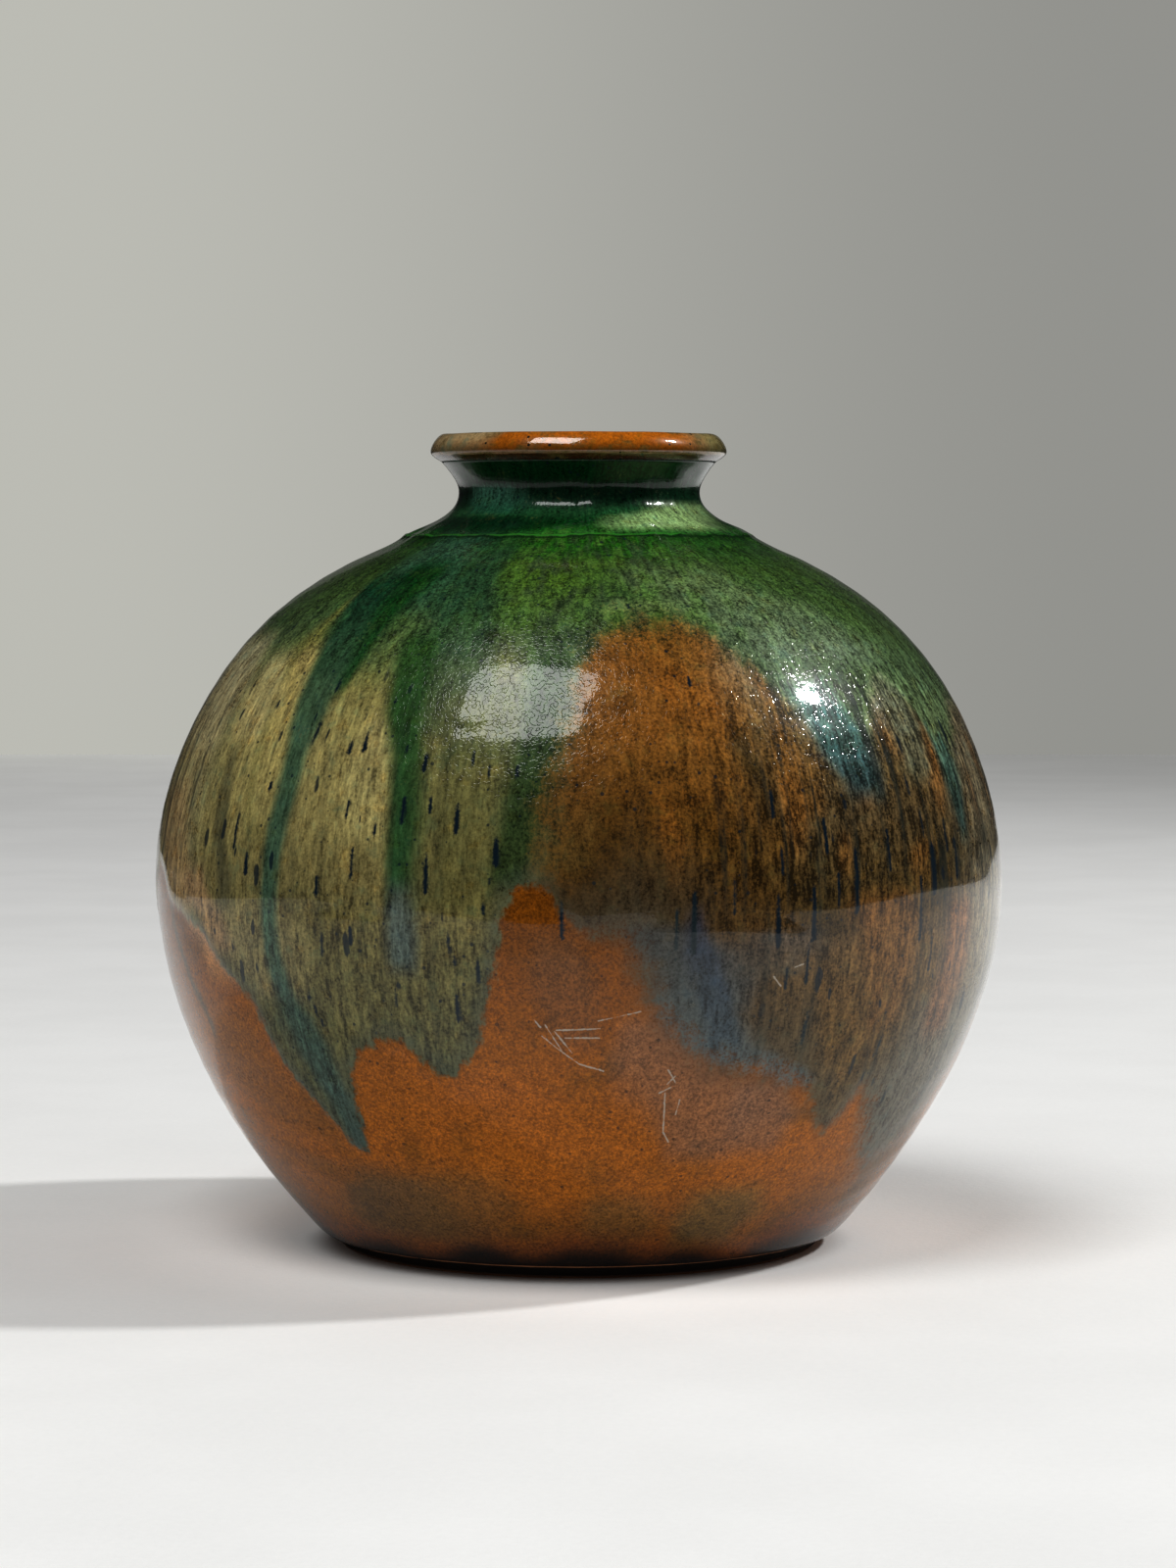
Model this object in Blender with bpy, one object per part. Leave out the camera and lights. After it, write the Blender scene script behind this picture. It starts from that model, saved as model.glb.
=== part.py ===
"""A thrown earthenware vase, in the pieces that a potter joins: globe, neck, rim and foot, with their glazes.

Every piece is turned about the Z axis from one outline, the glazed outer surface from the foot edge over the
belly and the neck to the lip. Clay, slip and glaze lie in layers at set depths under that outline, so a change
of one size carries through all of them. The origin is on the axis, on the table under the foot.
"""
import math
from typing import NamedTuple

import bmesh
import bpy
from mathutils import Vector

# Outline over the glaze, in metres
HEIGHT = 0.2100
FOOT_EDGE_RADIUS = 0.0680
FOOT_EDGE_HEIGHT = 0.0035
BELLY_RADIUS = 0.1096
BELLY_HEIGHT = 0.0960
WAIST_RADIUS = 0.0313
SEAM_REACH = 0.0132
SHOULDER_REACH = 0.0072
NECK_HEIGHT = 0.0126
FLARE_HEIGHT = 0.0104
FLARE_SPREAD = 0.0044
RIM_HEIGHT = 0.0070

# Rim roll over the glaze, in metres
BEAD_OVERHANG = 0.0027
BEAD_UNDERCUT = 0.0019
BEAD_DROP = 0.0033
CREST_INSET = 0.0034
EDGE_INSET = 0.0005

# Layers and clearances, in metres
GLAZE = 0.0008
WALL = 0.0055
FLOOR = 0.0090
COVE = 0.0080
SLIP = 0.0010
SEAM_RIDGE = 0.0006
GAP = 0.0003

# Foot ring, in metres
FOOT_INSET = 0.0055
FOOT_WIDTH = 0.0095
FOOT_SEAT = 0.0030
FOOT_EASE = 0.0008

# Directions of the outline, in degrees from the horizontal
FOOT_TAPER = 57.5
SHOULDER_SLOPE = 21.4
LIP_SLOPE = 46.7
EDGE_SLOPE = 55.0

# Fullness of the outline: how far each curve holds its end direction, as a share of its rise or of its reach
FOOT_FULLNESS = 0.103
LOWER_BELLY_FULLNESS = 0.546
UPPER_BELLY_FULLNESS = 0.282
SHOULDER_FULLNESS = 0.834
NECK_FOOT_FULLNESS = 0.196
WAIST_FULLNESS = 0.199
FLARE_FULLNESS = 0.316
LIP_FULLNESS = 0.766
ROUND_FULLNESS = 0.552
STRAIGHT_FULLNESS = 1 / 3

# Edge of the run glaze: degrees round from the front (-Y) towards +X, and height as a share of the belly height
RUN_LINE = (
    (-68, 0.95), (-56, 0.82), (-46, 0.55), (-35, 0.34), (-32, 0.58), (-25, 0.66), (-17, 0.55), (-11, 0.78),
    (-5, 1.07), (0, 0.95), (6, 0.92), (13, 0.68), (23, 0.57), (30, 0.55), (41, 0.38), (47, 0.59), (64, 0.75),
    (78, 0.88), (95, 0.46), (108, 0.73), (122, 0.37), (137, 0.63), (150, 0.85), (168, 0.42), (182, 0.69),
    (200, 0.50), (216, 0.83), (232, 0.39), (250, 0.69), (264, 0.52), (280, 0.92),
)

# Fineness of the meshes
SEGMENTS = 36
CURTAIN_SEGMENTS = 120
LOWER_ROWS = 6
SHOULDER_ROWS = 7
SEAM_ROWS = 2
NECK_ROWS = 3
FLARE_ROWS = 3
UNDER_ROWS = 1
EDGE_ROWS = 2
BEAD_ROWS = 3
MERGE_DISTANCE = 1e-6
SMOOTH_ANGLE = math.radians(40)

# Colours, linear, and how rough each finish is
CLAY = ((0.42, 0.19, 0.09), 0.80)
LUTING = ((0.50, 0.27, 0.15), 0.85)
HONEY = ((0.36, 0.12, 0.03), 0.12)
RUN = ((0.04, 0.14, 0.06), 0.12)
LIP = ((0.30, 0.10, 0.02), 0.12)
LINING = ((0.22, 0.10, 0.03), 0.20)

# Heights and depths that follow from the sizes above
RIM_SEAT = HEIGHT - RIM_HEIGHT
WAIST_HEIGHT = RIM_SEAT - FLARE_HEIGHT
SHOULDER_HEIGHT = WAIST_HEIGHT - NECK_HEIGHT
SEAM_RADIUS = WAIST_RADIUS + SEAM_REACH
SHOULDER_RADIUS = SEAM_RADIUS + SHOULDER_REACH
LIP_RADIUS = WAIST_RADIUS + FLARE_SPREAD
SKIN = GLAZE + GAP
CLAY_DEPTH = SKIN + WALL
THROAT_DEPTH = CLAY_DEPTH + SKIN
FLOOR_TOP = FOOT_EDGE_HEIGHT + FLOOR
SEAT_TOP = FOOT_EDGE_HEIGHT + FOOT_SEAT
FOOT_OUTER = FOOT_EDGE_RADIUS - FOOT_INSET
FOOT_INNER = FOOT_OUTER - FOOT_WIDTH


class Station(NamedTuple):
    """A place on the outline, as (radius, height), with the direction that leads into the clay."""
    point: Vector
    inward: Vector


def direction(degrees):
    """The unit (radius, height) direction at an angle above the outward horizontal."""
    angle = math.radians(degrees)
    return Vector((math.cos(angle), math.sin(angle)))


def at(station, depth):
    """The point at a depth under the outline."""
    return station.point + station.inward * depth


def slide(station, distance):
    """The station moved straight along the outline."""
    along = Vector((station.inward.y, -station.inward.x))
    return Station(station.point + along * distance, station.inward)


def inside(stations):
    """The stations of the inner surface behind these, from the top down."""
    return [Station(at(station, THROAT_DEPTH), -station.inward) for station in reversed(stations)]


def curve_station(knots, t):
    """The station at t, from 0 to 1, on a cubic curve with two knots and two handles."""
    start, start_handle, end_handle, end = knots
    s = 1 - t
    point = start * s**3 + start_handle * (3 * s * s * t) + end_handle * (3 * s * t * t) + end * t**3
    speed = (start_handle - start) * (s * s) + (end_handle - start_handle) * (2 * s * t)
    along = (speed + (end - end_handle) * (t * t)).normalized()
    return Station(point, Vector((-along.y, along.x)))


def curve(knots, rows, first=0.0, last=1.0):
    """Evenly spaced stations on a stretch of a cubic curve, without the stretch's first one."""
    return [curve_station(knots, first + (last - first) * row / rows) for row in range(1, rows + 1)]


def lower_knots():
    """Foot edge to belly."""
    foot = Vector((FOOT_EDGE_RADIUS, FOOT_EDGE_HEIGHT))
    belly = Vector((BELLY_RADIUS, BELLY_HEIGHT))
    rise = BELLY_HEIGHT - FOOT_EDGE_HEIGHT
    return (foot, foot + direction(FOOT_TAPER) * (rise * FOOT_FULLNESS),
            belly - Vector((0, rise * LOWER_BELLY_FULLNESS)), belly)


def shoulder_knots():
    """Belly to the foot of the neck."""
    belly = Vector((BELLY_RADIUS, BELLY_HEIGHT))
    shoulder = Vector((SHOULDER_RADIUS, SHOULDER_HEIGHT))
    rise = SHOULDER_HEIGHT - BELLY_HEIGHT
    reach = BELLY_RADIUS - SHOULDER_RADIUS
    return (belly, belly + Vector((0, rise * UPPER_BELLY_FULLNESS)),
            shoulder + direction(-SHOULDER_SLOPE) * (reach * SHOULDER_FULLNESS), shoulder)


def neck_knots():
    """Foot of the neck to its waist."""
    shoulder = Vector((SHOULDER_RADIUS, SHOULDER_HEIGHT))
    waist = Vector((WAIST_RADIUS, WAIST_HEIGHT))
    reach = SHOULDER_RADIUS - WAIST_RADIUS
    return (shoulder, shoulder - direction(-SHOULDER_SLOPE) * (reach * NECK_FOOT_FULLNESS),
            waist - Vector((0, NECK_HEIGHT * WAIST_FULLNESS)), waist)


def flare_knots():
    """Waist to the lip, under the rim roll."""
    waist = Vector((WAIST_RADIUS, WAIST_HEIGHT))
    lip = Vector((LIP_RADIUS, RIM_SEAT))
    return (waist, waist + Vector((0, FLARE_HEIGHT * FLARE_FULLNESS)),
            lip - direction(LIP_SLOPE) * (FLARE_HEIGHT * LIP_FULLNESS), lip)


def seam_parameter():
    """Where the neck's curve passes the seam's radius, found by halving."""
    knots = neck_knots()
    low, high = 0.0, 1.0
    while high - low > MERGE_DISTANCE:
        middle = (low + high) / 2
        if curve_station(knots, middle).point.x > SEAM_RADIUS:
            low = middle
        else:
            high = middle
    return low


def rim_stations(lip):
    """Over the rim roll: under its edge, round its bulge, over its crest and down to its inner edge."""
    bulge = Vector((LIP_RADIUS + BEAD_OVERHANG, HEIGHT - BEAD_DROP))
    edge = Vector((bulge.x - EDGE_INSET, RIM_SEAT + BEAD_UNDERCUT))
    crest = Vector((bulge.x - CREST_INSET, HEIGHT))
    inner = Station(at(lip, THROAT_DEPTH), -lip.inward)
    under_reach = (edge - lip.point).length * STRAIGHT_FULLNESS
    under = (lip.point, lip.point + direction(LIP_SLOPE) * under_reach,
             edge - direction(EDGE_SLOPE) * under_reach, edge)
    rise = bulge.y - edge.y
    side = (edge, edge + direction(EDGE_SLOPE) * (EDGE_INSET * ROUND_FULLNESS),
            bulge - Vector((0, rise * ROUND_FULLNESS)), bulge)
    top = (bulge, bulge + Vector((0, BEAD_DROP * ROUND_FULLNESS)),
           crest + Vector((CREST_INSET * ROUND_FULLNESS, 0)), crest)
    reach = crest.x - inner.point.x
    roll = (crest, crest - Vector((reach * ROUND_FULLNESS, 0)),
            inner.point + direction(LIP_SLOPE) * ((crest.y - inner.point.y) * ROUND_FULLNESS), inner.point)
    over = curve(under, UNDER_ROWS) + curve(side, EDGE_ROWS) + curve(top, BEAD_ROWS) + curve(roll, BEAD_ROWS)
    return over[:-1] + [inner]


def band(stations, low_depth, high_depth):
    """The closed section between two depths along some stations."""
    near = [at(station, low_depth) for station in stations]
    far = [at(station, high_depth) for station in reversed(stations)]
    return near + far


def clip(section, height, keep_above):
    """The part of a closed section above or below a height."""
    sign = 1 if keep_above else -1
    kept = []
    for start, end in zip(section, section[1:] + section[:1]):
        before = (start.y - height) * sign
        after = (end.y - height) * sign
        if before >= 0:
            kept.append(start)
        if before * after < 0:
            kept.append(start.lerp(end, before / (before - after)))
    return kept


def point_at(line, height):
    """The first point of a line that falls from the top down, or rises, at a height."""
    for start, end in zip(line, line[1:]):
        if (start.y - height) * (end.y - height) <= 0:
            return start.lerp(end, (start.y - height) / (start.y - end.y))
    return line[-1]


def hollow(stations, depth):
    """The inner side of the wall at a depth, from the top down, with its cove and its floor to the axis."""
    floor = FLOOR_TOP + depth - CLAY_DEPTH
    rows = [slide(stations[0], -depth)] + stations
    line = [at(station, depth) for station in reversed(rows)]
    wall = [point for point in line if point.y > floor + COVE]
    corner = point_at(line, floor).x - COVE
    return wall + [point_at(line, floor + COVE), Vector((corner, floor)), Vector((0, floor))]


def finish(name, colour, roughness):
    """The material of one piece."""
    material = bpy.data.materials.new(name)
    material.use_nodes = True
    shader = material.node_tree.nodes["Principled BSDF"]
    shader.inputs["Base Color"].default_value = (*colour, 1)
    shader.inputs["Roughness"].default_value = roughness
    return material


def add_piece(name, shape, parent, look):
    """A named object from a finished mesh."""
    bmesh.ops.remove_doubles(shape, verts=shape.verts, dist=MERGE_DISTANCE)
    bmesh.ops.recalc_face_normals(shape, faces=shape.faces)
    mesh = bpy.data.meshes.new(name)
    shape.to_mesh(mesh)
    shape.free()
    mesh.shade_smooth()
    mesh.set_sharp_from_angle(angle=SMOOTH_ANGLE)
    mesh.materials.append(finish(name, *look))
    piece = bpy.data.objects.new(name, mesh)
    bpy.context.collection.objects.link(piece)
    piece.parent = parent
    return piece


def turned(name, section, parent, look):
    """A piece turned about the axis from a closed section, or from one whose two ends lie on the axis."""
    shape = bmesh.new()
    corners = [shape.verts.new((point.x, 0, point.y)) for point in section]
    sides = []
    for start, end in zip(corners, corners[1:] + corners[:1]):
        if start.co.x > MERGE_DISTANCE or end.co.x > MERGE_DISTANCE:
            sides.append(shape.edges.new((start, end)))
    bmesh.ops.spin(shape, geom=corners + sides, cent=(0, 0, 0), axis=(0, 0, 1), angle=math.tau,
                   steps=SEGMENTS, use_merge=True)
    return add_piece(name, shape, parent, look)


def run_height(degrees):
    """Height of the run glaze's edge at an angle round the vase: rounded tips and arches between the knots."""
    knots = RUN_LINE + ((RUN_LINE[0][0] + 360, RUN_LINE[0][1]),)
    turn = RUN_LINE[0][0] + (degrees - RUN_LINE[0][0]) % 360
    for (start, low), (end, high) in zip(knots, knots[1:]):
        if turn <= end:
            ease = (1 - math.cos(math.pi * (turn - start) / (end - start))) / 2
            return BELLY_HEIGHT * (low + (high - low) * ease)
    return BELLY_HEIGHT * knots[-1][1]


def curtain(name, parent, above):
    """The space above or below the run glaze's edge, half a gap clear of it: what one glaze is cut to."""
    step = 360 / CURTAIN_SEGMENTS
    arc = BELLY_RADIUS * math.radians(step)
    inner_radius = WAIST_RADIUS / 2
    outer_radius = BELLY_RADIUS + WAIST_RADIUS
    far_height = HEIGHT + WAIST_RADIUS if above else -WAIST_RADIUS
    side = 1 if above else -1
    shape = bmesh.new()
    columns = []
    for index in range(CURTAIN_SEGMENTS):
        degrees = (index + 0.5) * step
        slope = (run_height(degrees + step) - run_height(degrees - step)) / (2 * arc)
        edge = run_height(degrees) + side * GAP / 2 * math.hypot(1, slope)
        angle = math.radians(degrees)
        out = Vector((math.sin(angle), -math.cos(angle), 0))
        corners = [out * radius + Vector((0, 0, edge)) for radius in (inner_radius, outer_radius)]
        corners += [out * radius + Vector((0, 0, far_height)) for radius in (outer_radius, inner_radius)]
        columns.append([shape.verts.new(corner) for corner in corners])
    for here, there in zip(columns, columns[1:] + columns[:1]):
        for corner, following in zip(range(-1, 3), range(4)):
            shape.faces.new((here[corner], there[corner], there[following]))
            shape.faces.new((here[corner], there[following], here[following]))
    cutter = add_piece(name, shape, parent, RUN)
    cutter.hide_render = True
    cutter.display_type = "WIRE"
    return cutter


def cut_to(piece, cutter):
    """Keep only the part of a piece that lies inside a cutter."""
    cut = piece.modifiers.new("run line", "BOOLEAN")
    cut.operation = "INTERSECT"
    cut.object = cutter


def foot_section(low, high, ease):
    """Section of the foot ring or of its slip, with its lower corners eased."""
    points = [(FOOT_INNER, high), (FOOT_INNER, low + ease), (FOOT_INNER + ease, low), (FOOT_OUTER - ease, low),
              (FOOT_OUTER, low + ease), (FOOT_OUTER, high)]
    return [Vector(point) for point in points]


def build_globe(globe_rows, parent):
    """The thrown globe with its floor, and the seat for the foot ring under it."""
    rows = [slide(globe_rows[0], -SKIN)] + globe_rows
    wall = [at(station, SKIN) for station in rows]
    underside = [(0, FOOT_EDGE_HEIGHT), (FOOT_INNER - GAP, FOOT_EDGE_HEIGHT), (FOOT_INNER - GAP, SEAT_TOP),
                 (FOOT_OUTER + GAP, SEAT_TOP), (FOOT_OUTER + GAP, FOOT_EDGE_HEIGHT)]
    section = wall + hollow(globe_rows, CLAY_DEPTH) + [Vector(point) for point in underside]
    turned("body_globe", clip(section, FOOT_EDGE_HEIGHT, True), parent, CLAY)


def build_foot(parent):
    """The foot ring that the vase stands on, luted into its seat."""
    slip_top = SEAT_TOP - GAP
    slip_bottom = slip_top - SLIP
    turned("foot_luting_slip", foot_section(slip_bottom, slip_top, 0), parent, LUTING)
    turned("foot_ring", foot_section(0, slip_bottom - GAP, FOOT_EASE), parent, CLAY)


def build_neck_and_rim(seam, upper_rows, rim_rows, parent):
    """The neck on its bevelled seat, and the rim roll on the neck's flat top, each on a layer of slip."""
    slip_rows = [slide(seam, -SLIP / 2), slide(seam, SLIP / 2)]
    turned("neck_luting_slip", band(slip_rows, SKIN, CLAY_DEPTH), parent, LUTING)
    neck_rows = [slide(seam, SLIP / 2 + GAP)] + upper_rows
    outer = [at(station, SKIN) for station in neck_rows + rim_rows]
    inner = [at(station, CLAY_DEPTH) for station in reversed(neck_rows)]
    wall = outer[:-1] + inner
    turned("neck_collar", clip(wall, RIM_SEAT - SLIP / 2 - GAP, False), parent, CLAY)
    slip = clip(clip(wall, RIM_SEAT - SLIP / 2, True), RIM_SEAT + SLIP / 2, False)
    turned("rim_luting_slip", slip, parent, LUTING)
    turned("rim_roll", clip(wall, RIM_SEAT + SLIP / 2 + GAP, True), parent, CLAY)


def build_glazes(globe_rows, seam, upper_rows, rim_rows, parent):
    """Run glaze over the neck and shoulder, honey glaze below its edge, the rim's glaze and the lining."""
    coat_rows = [slide(globe_rows[0], -SKIN)] + globe_rows + [seam] + upper_rows
    coat = band(coat_rows, 0, GLAZE)
    ridge = len(globe_rows) + 1
    coat[ridge] = at(seam, -SEAM_RIDGE)
    coat = clip(clip(coat, FOOT_EDGE_HEIGHT, True), RIM_SEAT - GAP / 2, False)
    cut_to(turned("run_glaze_coat", coat, parent, RUN), curtain("run_line_above", parent, True))
    cut_to(turned("honey_glaze_coat", coat, parent, HONEY), curtain("run_line_below", parent, False))
    over_rim = band(upper_rows + rim_rows + inside(upper_rows)[1:], 0, GLAZE)
    turned("rim_glaze", clip(over_rim, RIM_SEAT + GAP / 2, True), parent, LIP)
    lined_rows = globe_rows + [seam] + upper_rows
    lining = hollow(lined_rows, THROAT_DEPTH) + hollow(lined_rows, THROAT_DEPTH - GLAZE)[::-1]
    turned("inner_glaze_lining", clip(lining, RIM_SEAT - GAP / 2, False), parent, LINING)


def main():
    for item in list(bpy.data.objects):
        bpy.data.objects.remove(item)
    vase = bpy.data.objects.new("vase", None)
    bpy.context.collection.objects.link(vase)

    seam_at = seam_parameter()
    seam = curve_station(neck_knots(), seam_at)
    below_seam = curve(neck_knots(), SEAM_ROWS, 0, seam_at)[:-1]
    lower = [curve_station(lower_knots(), 0)] + curve(lower_knots(), LOWER_ROWS)
    globe_rows = lower + curve(shoulder_knots(), SHOULDER_ROWS) + below_seam
    upper_rows = curve(neck_knots(), NECK_ROWS, seam_at, 1) + curve(flare_knots(), FLARE_ROWS)
    rim_rows = rim_stations(upper_rows[-1])

    build_globe(globe_rows + [slide(seam, -SLIP / 2 - GAP)], vase)
    build_foot(vase)
    build_neck_and_rim(seam, upper_rows, rim_rows, vase)
    build_glazes(globe_rows, seam, upper_rows, rim_rows, vase)


main()
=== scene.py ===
"""Looks of a run-glazed vase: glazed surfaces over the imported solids, their finishes and a plain studio.

Lengths are in metres unless a name or comment says millimetres. Angles round the vase are in degrees from the
front (-Y) towards +X. Colours are thousandths of linear red, green and blue.
"""
import math
import random
from typing import NamedTuple

import bmesh
import bpy
import numpy as np
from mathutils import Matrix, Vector, noise


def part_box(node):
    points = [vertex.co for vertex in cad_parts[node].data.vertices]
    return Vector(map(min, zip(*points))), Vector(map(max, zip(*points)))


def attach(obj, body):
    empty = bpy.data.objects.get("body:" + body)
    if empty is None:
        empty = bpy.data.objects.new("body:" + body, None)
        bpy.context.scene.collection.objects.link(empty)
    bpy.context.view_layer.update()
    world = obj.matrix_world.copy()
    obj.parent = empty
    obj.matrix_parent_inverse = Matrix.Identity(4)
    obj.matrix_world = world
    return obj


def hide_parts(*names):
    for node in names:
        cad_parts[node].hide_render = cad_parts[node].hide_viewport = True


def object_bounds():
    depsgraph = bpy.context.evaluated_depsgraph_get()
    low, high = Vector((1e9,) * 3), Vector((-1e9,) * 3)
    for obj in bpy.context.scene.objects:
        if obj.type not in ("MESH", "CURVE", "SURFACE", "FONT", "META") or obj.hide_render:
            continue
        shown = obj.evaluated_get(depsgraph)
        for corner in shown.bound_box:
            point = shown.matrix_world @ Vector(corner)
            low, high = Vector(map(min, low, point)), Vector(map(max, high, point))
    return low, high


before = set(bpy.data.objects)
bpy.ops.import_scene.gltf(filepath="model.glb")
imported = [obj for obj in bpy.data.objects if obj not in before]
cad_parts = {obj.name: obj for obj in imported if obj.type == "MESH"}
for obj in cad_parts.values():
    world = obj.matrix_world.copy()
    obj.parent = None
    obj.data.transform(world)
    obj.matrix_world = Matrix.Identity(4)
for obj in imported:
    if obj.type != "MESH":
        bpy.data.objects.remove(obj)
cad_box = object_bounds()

# Sizes that the frame gives
HEIGHT = cad_box[1][2]
BELLY_RADIUS = cad_box[1][0]
FOOT_EDGE_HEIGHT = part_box("honey_glaze_coat")[0].z
FOOT_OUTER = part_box("foot_ring")[1].x
FOOT_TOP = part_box("foot_ring")[1].z

# Outline over the glaze, as in the solids but with the neck's bends eased
FOOT_EDGE_RADIUS = 0.0680
BELLY_HEIGHT = 0.0960
WAIST_RADIUS = 0.0314
SEAM_REACH = 0.0114
SHOULDER_REACH = 0.0090
NECK_HEIGHT = 0.0124
FLARE_HEIGHT = 0.0106
FLARE_SPREAD = 0.0043
RIM_HEIGHT = 0.0070
NECK_EASE = 0.0020
NECK_EASE_RISE = 0.0060
LIP_EASE_RISE = 0.0030
FOOT_TAPER = 57.5
SHOULDER_SLOPE = 21.4
LIP_SLOPE = 46.7
FOOT_FULLNESS = 0.103
LOWER_BELLY_FULLNESS = 0.546
UPPER_BELLY_FULLNESS = 0.282
SHOULDER_FULLNESS = 0.834
NECK_FOOT_FULLNESS = 0.381
WAIST_FULLNESS = 0.203
FLARE_FULLNESS = 0.303
LIP_FULLNESS = 1.020
ROUND_FULLNESS = 0.552
STRAIGHT_FULLNESS = 1 / 3

# Rim roll: a sloping top face, a blunt front and a crisp lower edge
BEAD_OVERHANG = 0.0027
BEAD_UNDERCUT = 0.00155
BEAD_DROP = 0.0044
CREST_INSET = 0.0034
EDGE_INSET = 0.00045
CREST_FULLNESS = 0.44
FRONT_FULLNESS = 0.32
UNDER_SLOPE = 30.0
EDGE_SLOPE = 45.0

# Foot ring and layers, as in the solids
FOOT_WIDTH = 0.0095
FOOT_EASE = 0.0008
FOOT_EASE_SHARE = 0.3
GLAZE = 0.0008
GAP = 0.0003
WALL = 0.0055
FLOOR = 0.0090
COVE = 0.0080

RIM_SEAT = HEIGHT - RIM_HEIGHT
WAIST_HEIGHT = RIM_SEAT - FLARE_HEIGHT
SHOULDER_HEIGHT = WAIST_HEIGHT - NECK_HEIGHT
SEAM_RADIUS = WAIST_RADIUS + SEAM_REACH
SHOULDER_RADIUS = SEAM_RADIUS + SHOULDER_REACH
LIP_RADIUS = WAIST_RADIUS + FLARE_SPREAD
THROAT_DEPTH = 2 * (GLAZE + GAP) + WALL
LINING_FLOOR = FOOT_EDGE_HEIGHT + FLOOR + GLAZE + GAP

# Relief of the glaze
SEAM_RIDGE = 0.0007
SEAM_SPREAD = 0.0048
LAP_RADIUS = 0.0447
LAP_RIDGE = 0.0003
LAP_SPREAD = 0.0008
RUN_RELIEF = 0.00025
RUN_BEAD = 0.00015
RING_RELIEF = 0.00005
RING_SPACING = 0.0085
LUMP_RELIEF = 0.00016
LUMP_SIZE = 0.030
EDGE_ROUNDING = 0.0006
EDGE_ROUNDED = 0.0016
LIP_FADE = 0.004
RIM_RELIEF = 0.00012

# Fineness of the meshes: the front half, which carries the painted marks, is finer than the back
FRONT_HALF = 86
FRONT_STEP = 0.75
BACK_STEP = 1.25
GLOBE_ROWS = 168
NECK_ROWS = 58
SKIN_ROWS = GLOBE_ROWS + NECK_ROWS
GLOBE_STRIDE = 20
NECK_STRIDE = 3
RIM_ROWS = 60
LINING_ROWS = 120
PLAIN_COLUMNS = 240
CURVE_STEPS = 200
OUTLINE_POINTS = 1400
MERGE_DISTANCE = 1e-6

# Camera of the photograph, whose long side is 1600 pixels
CAMERA_PLACE = (0.0024, -1.094, 0.183)
CAMERA_PITCH = 3.34
FOCAL_PIXELS = 4286
IMAGE_HEIGHT = 1600
SENSOR = 36.0
DISPLAY_GAMMA = 0.77

# Studio sizes and lights
TABLE_LEFT, TABLE_RIGHT = -1.05, 1.10
TABLE_FRONT, TABLE_BACK = -0.65, 2.47
TABLE_CUT = 0.02
TABLE_BEND = (0.646, -0.42)
TABLE_CORNER = -0.27
WALL_HALF = 0.62
WALL_TOP = 0.75
OUTER_FLOOR = 6.0
OUTER_DROP = 0.001
KEY_DISTANCE = 3.2
KEY_TURN, KEY_LIFT = 97.0, 44.5
KEY_SPAN = 0.07
KEY_STRENGTH = 5.0
SOFTBOX_PLACE = (-0.54, -1.04, 2.262)
SOFTBOX_SIZE = (1.12, 0.97)
SOFTBOX_STRENGTH = 9.2

# Studio tones, and how far mirror images of them are dimmed or raised
TABLE_WHITES = ((790, 790, 780), (820, 820, 810))
WALL_LEFT = (586, 586, 545)
WALL_RIGHT = (380, 380, 360)
FILL = (230, 230, 230)
MIRRORED_ROOM = (18, 18, 18)
SEEN_ROOM = (450, 450, 430)
MIRRORED_WALL = 0.3
MIRRORED_MIDDLE = 0.86
MIRRORED_SIDES = 0.12
MIRRORED_RIGHT = 0.34
MIRRORED_AHEAD = 0.40
MIRRORED_UNDER = 0.30
# A painted shadow far back on the right of the table, the table's painted glow, and painted light added near
# the vase
FAR_PAINTED_SHADOW = 0.28
TABLE_GLOW = 0.105
NEAR_GLOW = 1.2

# Where the table's tones fade in, from none to all, in metres across, back or away from the vase's axis
FAR_BACK, FAR_ACROSS = (0.9, 2.4), (-0.25, 0.45)
SIDES_ASIDE, RIGHT_ACROSS = (0.1, 0.5), (0.02, 0.4)
AHEAD_START, AHEAD_END, AHEAD_ASIDE = (0.10, 0.17), (0.45, 0.25), (0.16, 0.05)
UNDER_REACH, UNDER_ACROSS = (0.17, 0.10), (0.07, 0.03)
# Reach of the painted light near the vase, and of the painted contact shadow under its foot, where the glow
# is left out
NEAR_REACH, FOOT_REACH = (0.13, 0.075), (0.063, 0.073)
WALL_ACROSS = (-0.5, 0.5)

# Glaze colours
FLARE_GREEN = (3, 38, 10)
NECK_TEAL = (30, 130, 70)
NECK_BLUE = (80, 220, 150)
PALE_LEAF = (360, 520, 230)
SEAM_GREEN = (22, 130, 8)
# Painted highlight and painted shade along the seam ridge under the neck
SEAM_PAINTED_HIGHLIGHT = (50, 265, 35)
SEAM_PAINTED_SHADE = (4, 30, 6)
BRIGHT_MOSS = (100, 195, 40)
MURK = (50, 72, 40)
MOSS = (88, 168, 22)
FERN = (67, 132, 30)
TEAL = (90, 160, 85)
BOTTLE = (1, 60, 8)
CREASE = (10, 28, 12)
OCHRE = (500, 410, 160)
TAN = (390, 335, 140)
DULL_TAN = (240, 205, 86)
EDGE_TAN = (400, 340, 170)
OLIVE = (150, 140, 48)
SLATE = (95, 125, 105)
INK = (8, 20, 32)
THREAD = (22, 30, 26)
RUST = (340, 138, 22)
CHESTNUT = (205, 96, 20)
UMBER = (115, 56, 10)
GREY_BROWN = (260, 222, 140)
HONEY = (430, 145, 6)
DARK_HONEY = (240, 80, 4)
MAUVE = (300, 150, 75)
PINHOLE = (20, 12, 8)
SCRATCH = (560, 500, 420)

# Tints that colours are multiplied by
COOL_TINT = (740, 880, 1000)
WARM_TINT = (1220, 1100, 950)
HONEY_SHADE = (660, 740, 900)
RIM_SHADE = (550, 750, 900)

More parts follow.
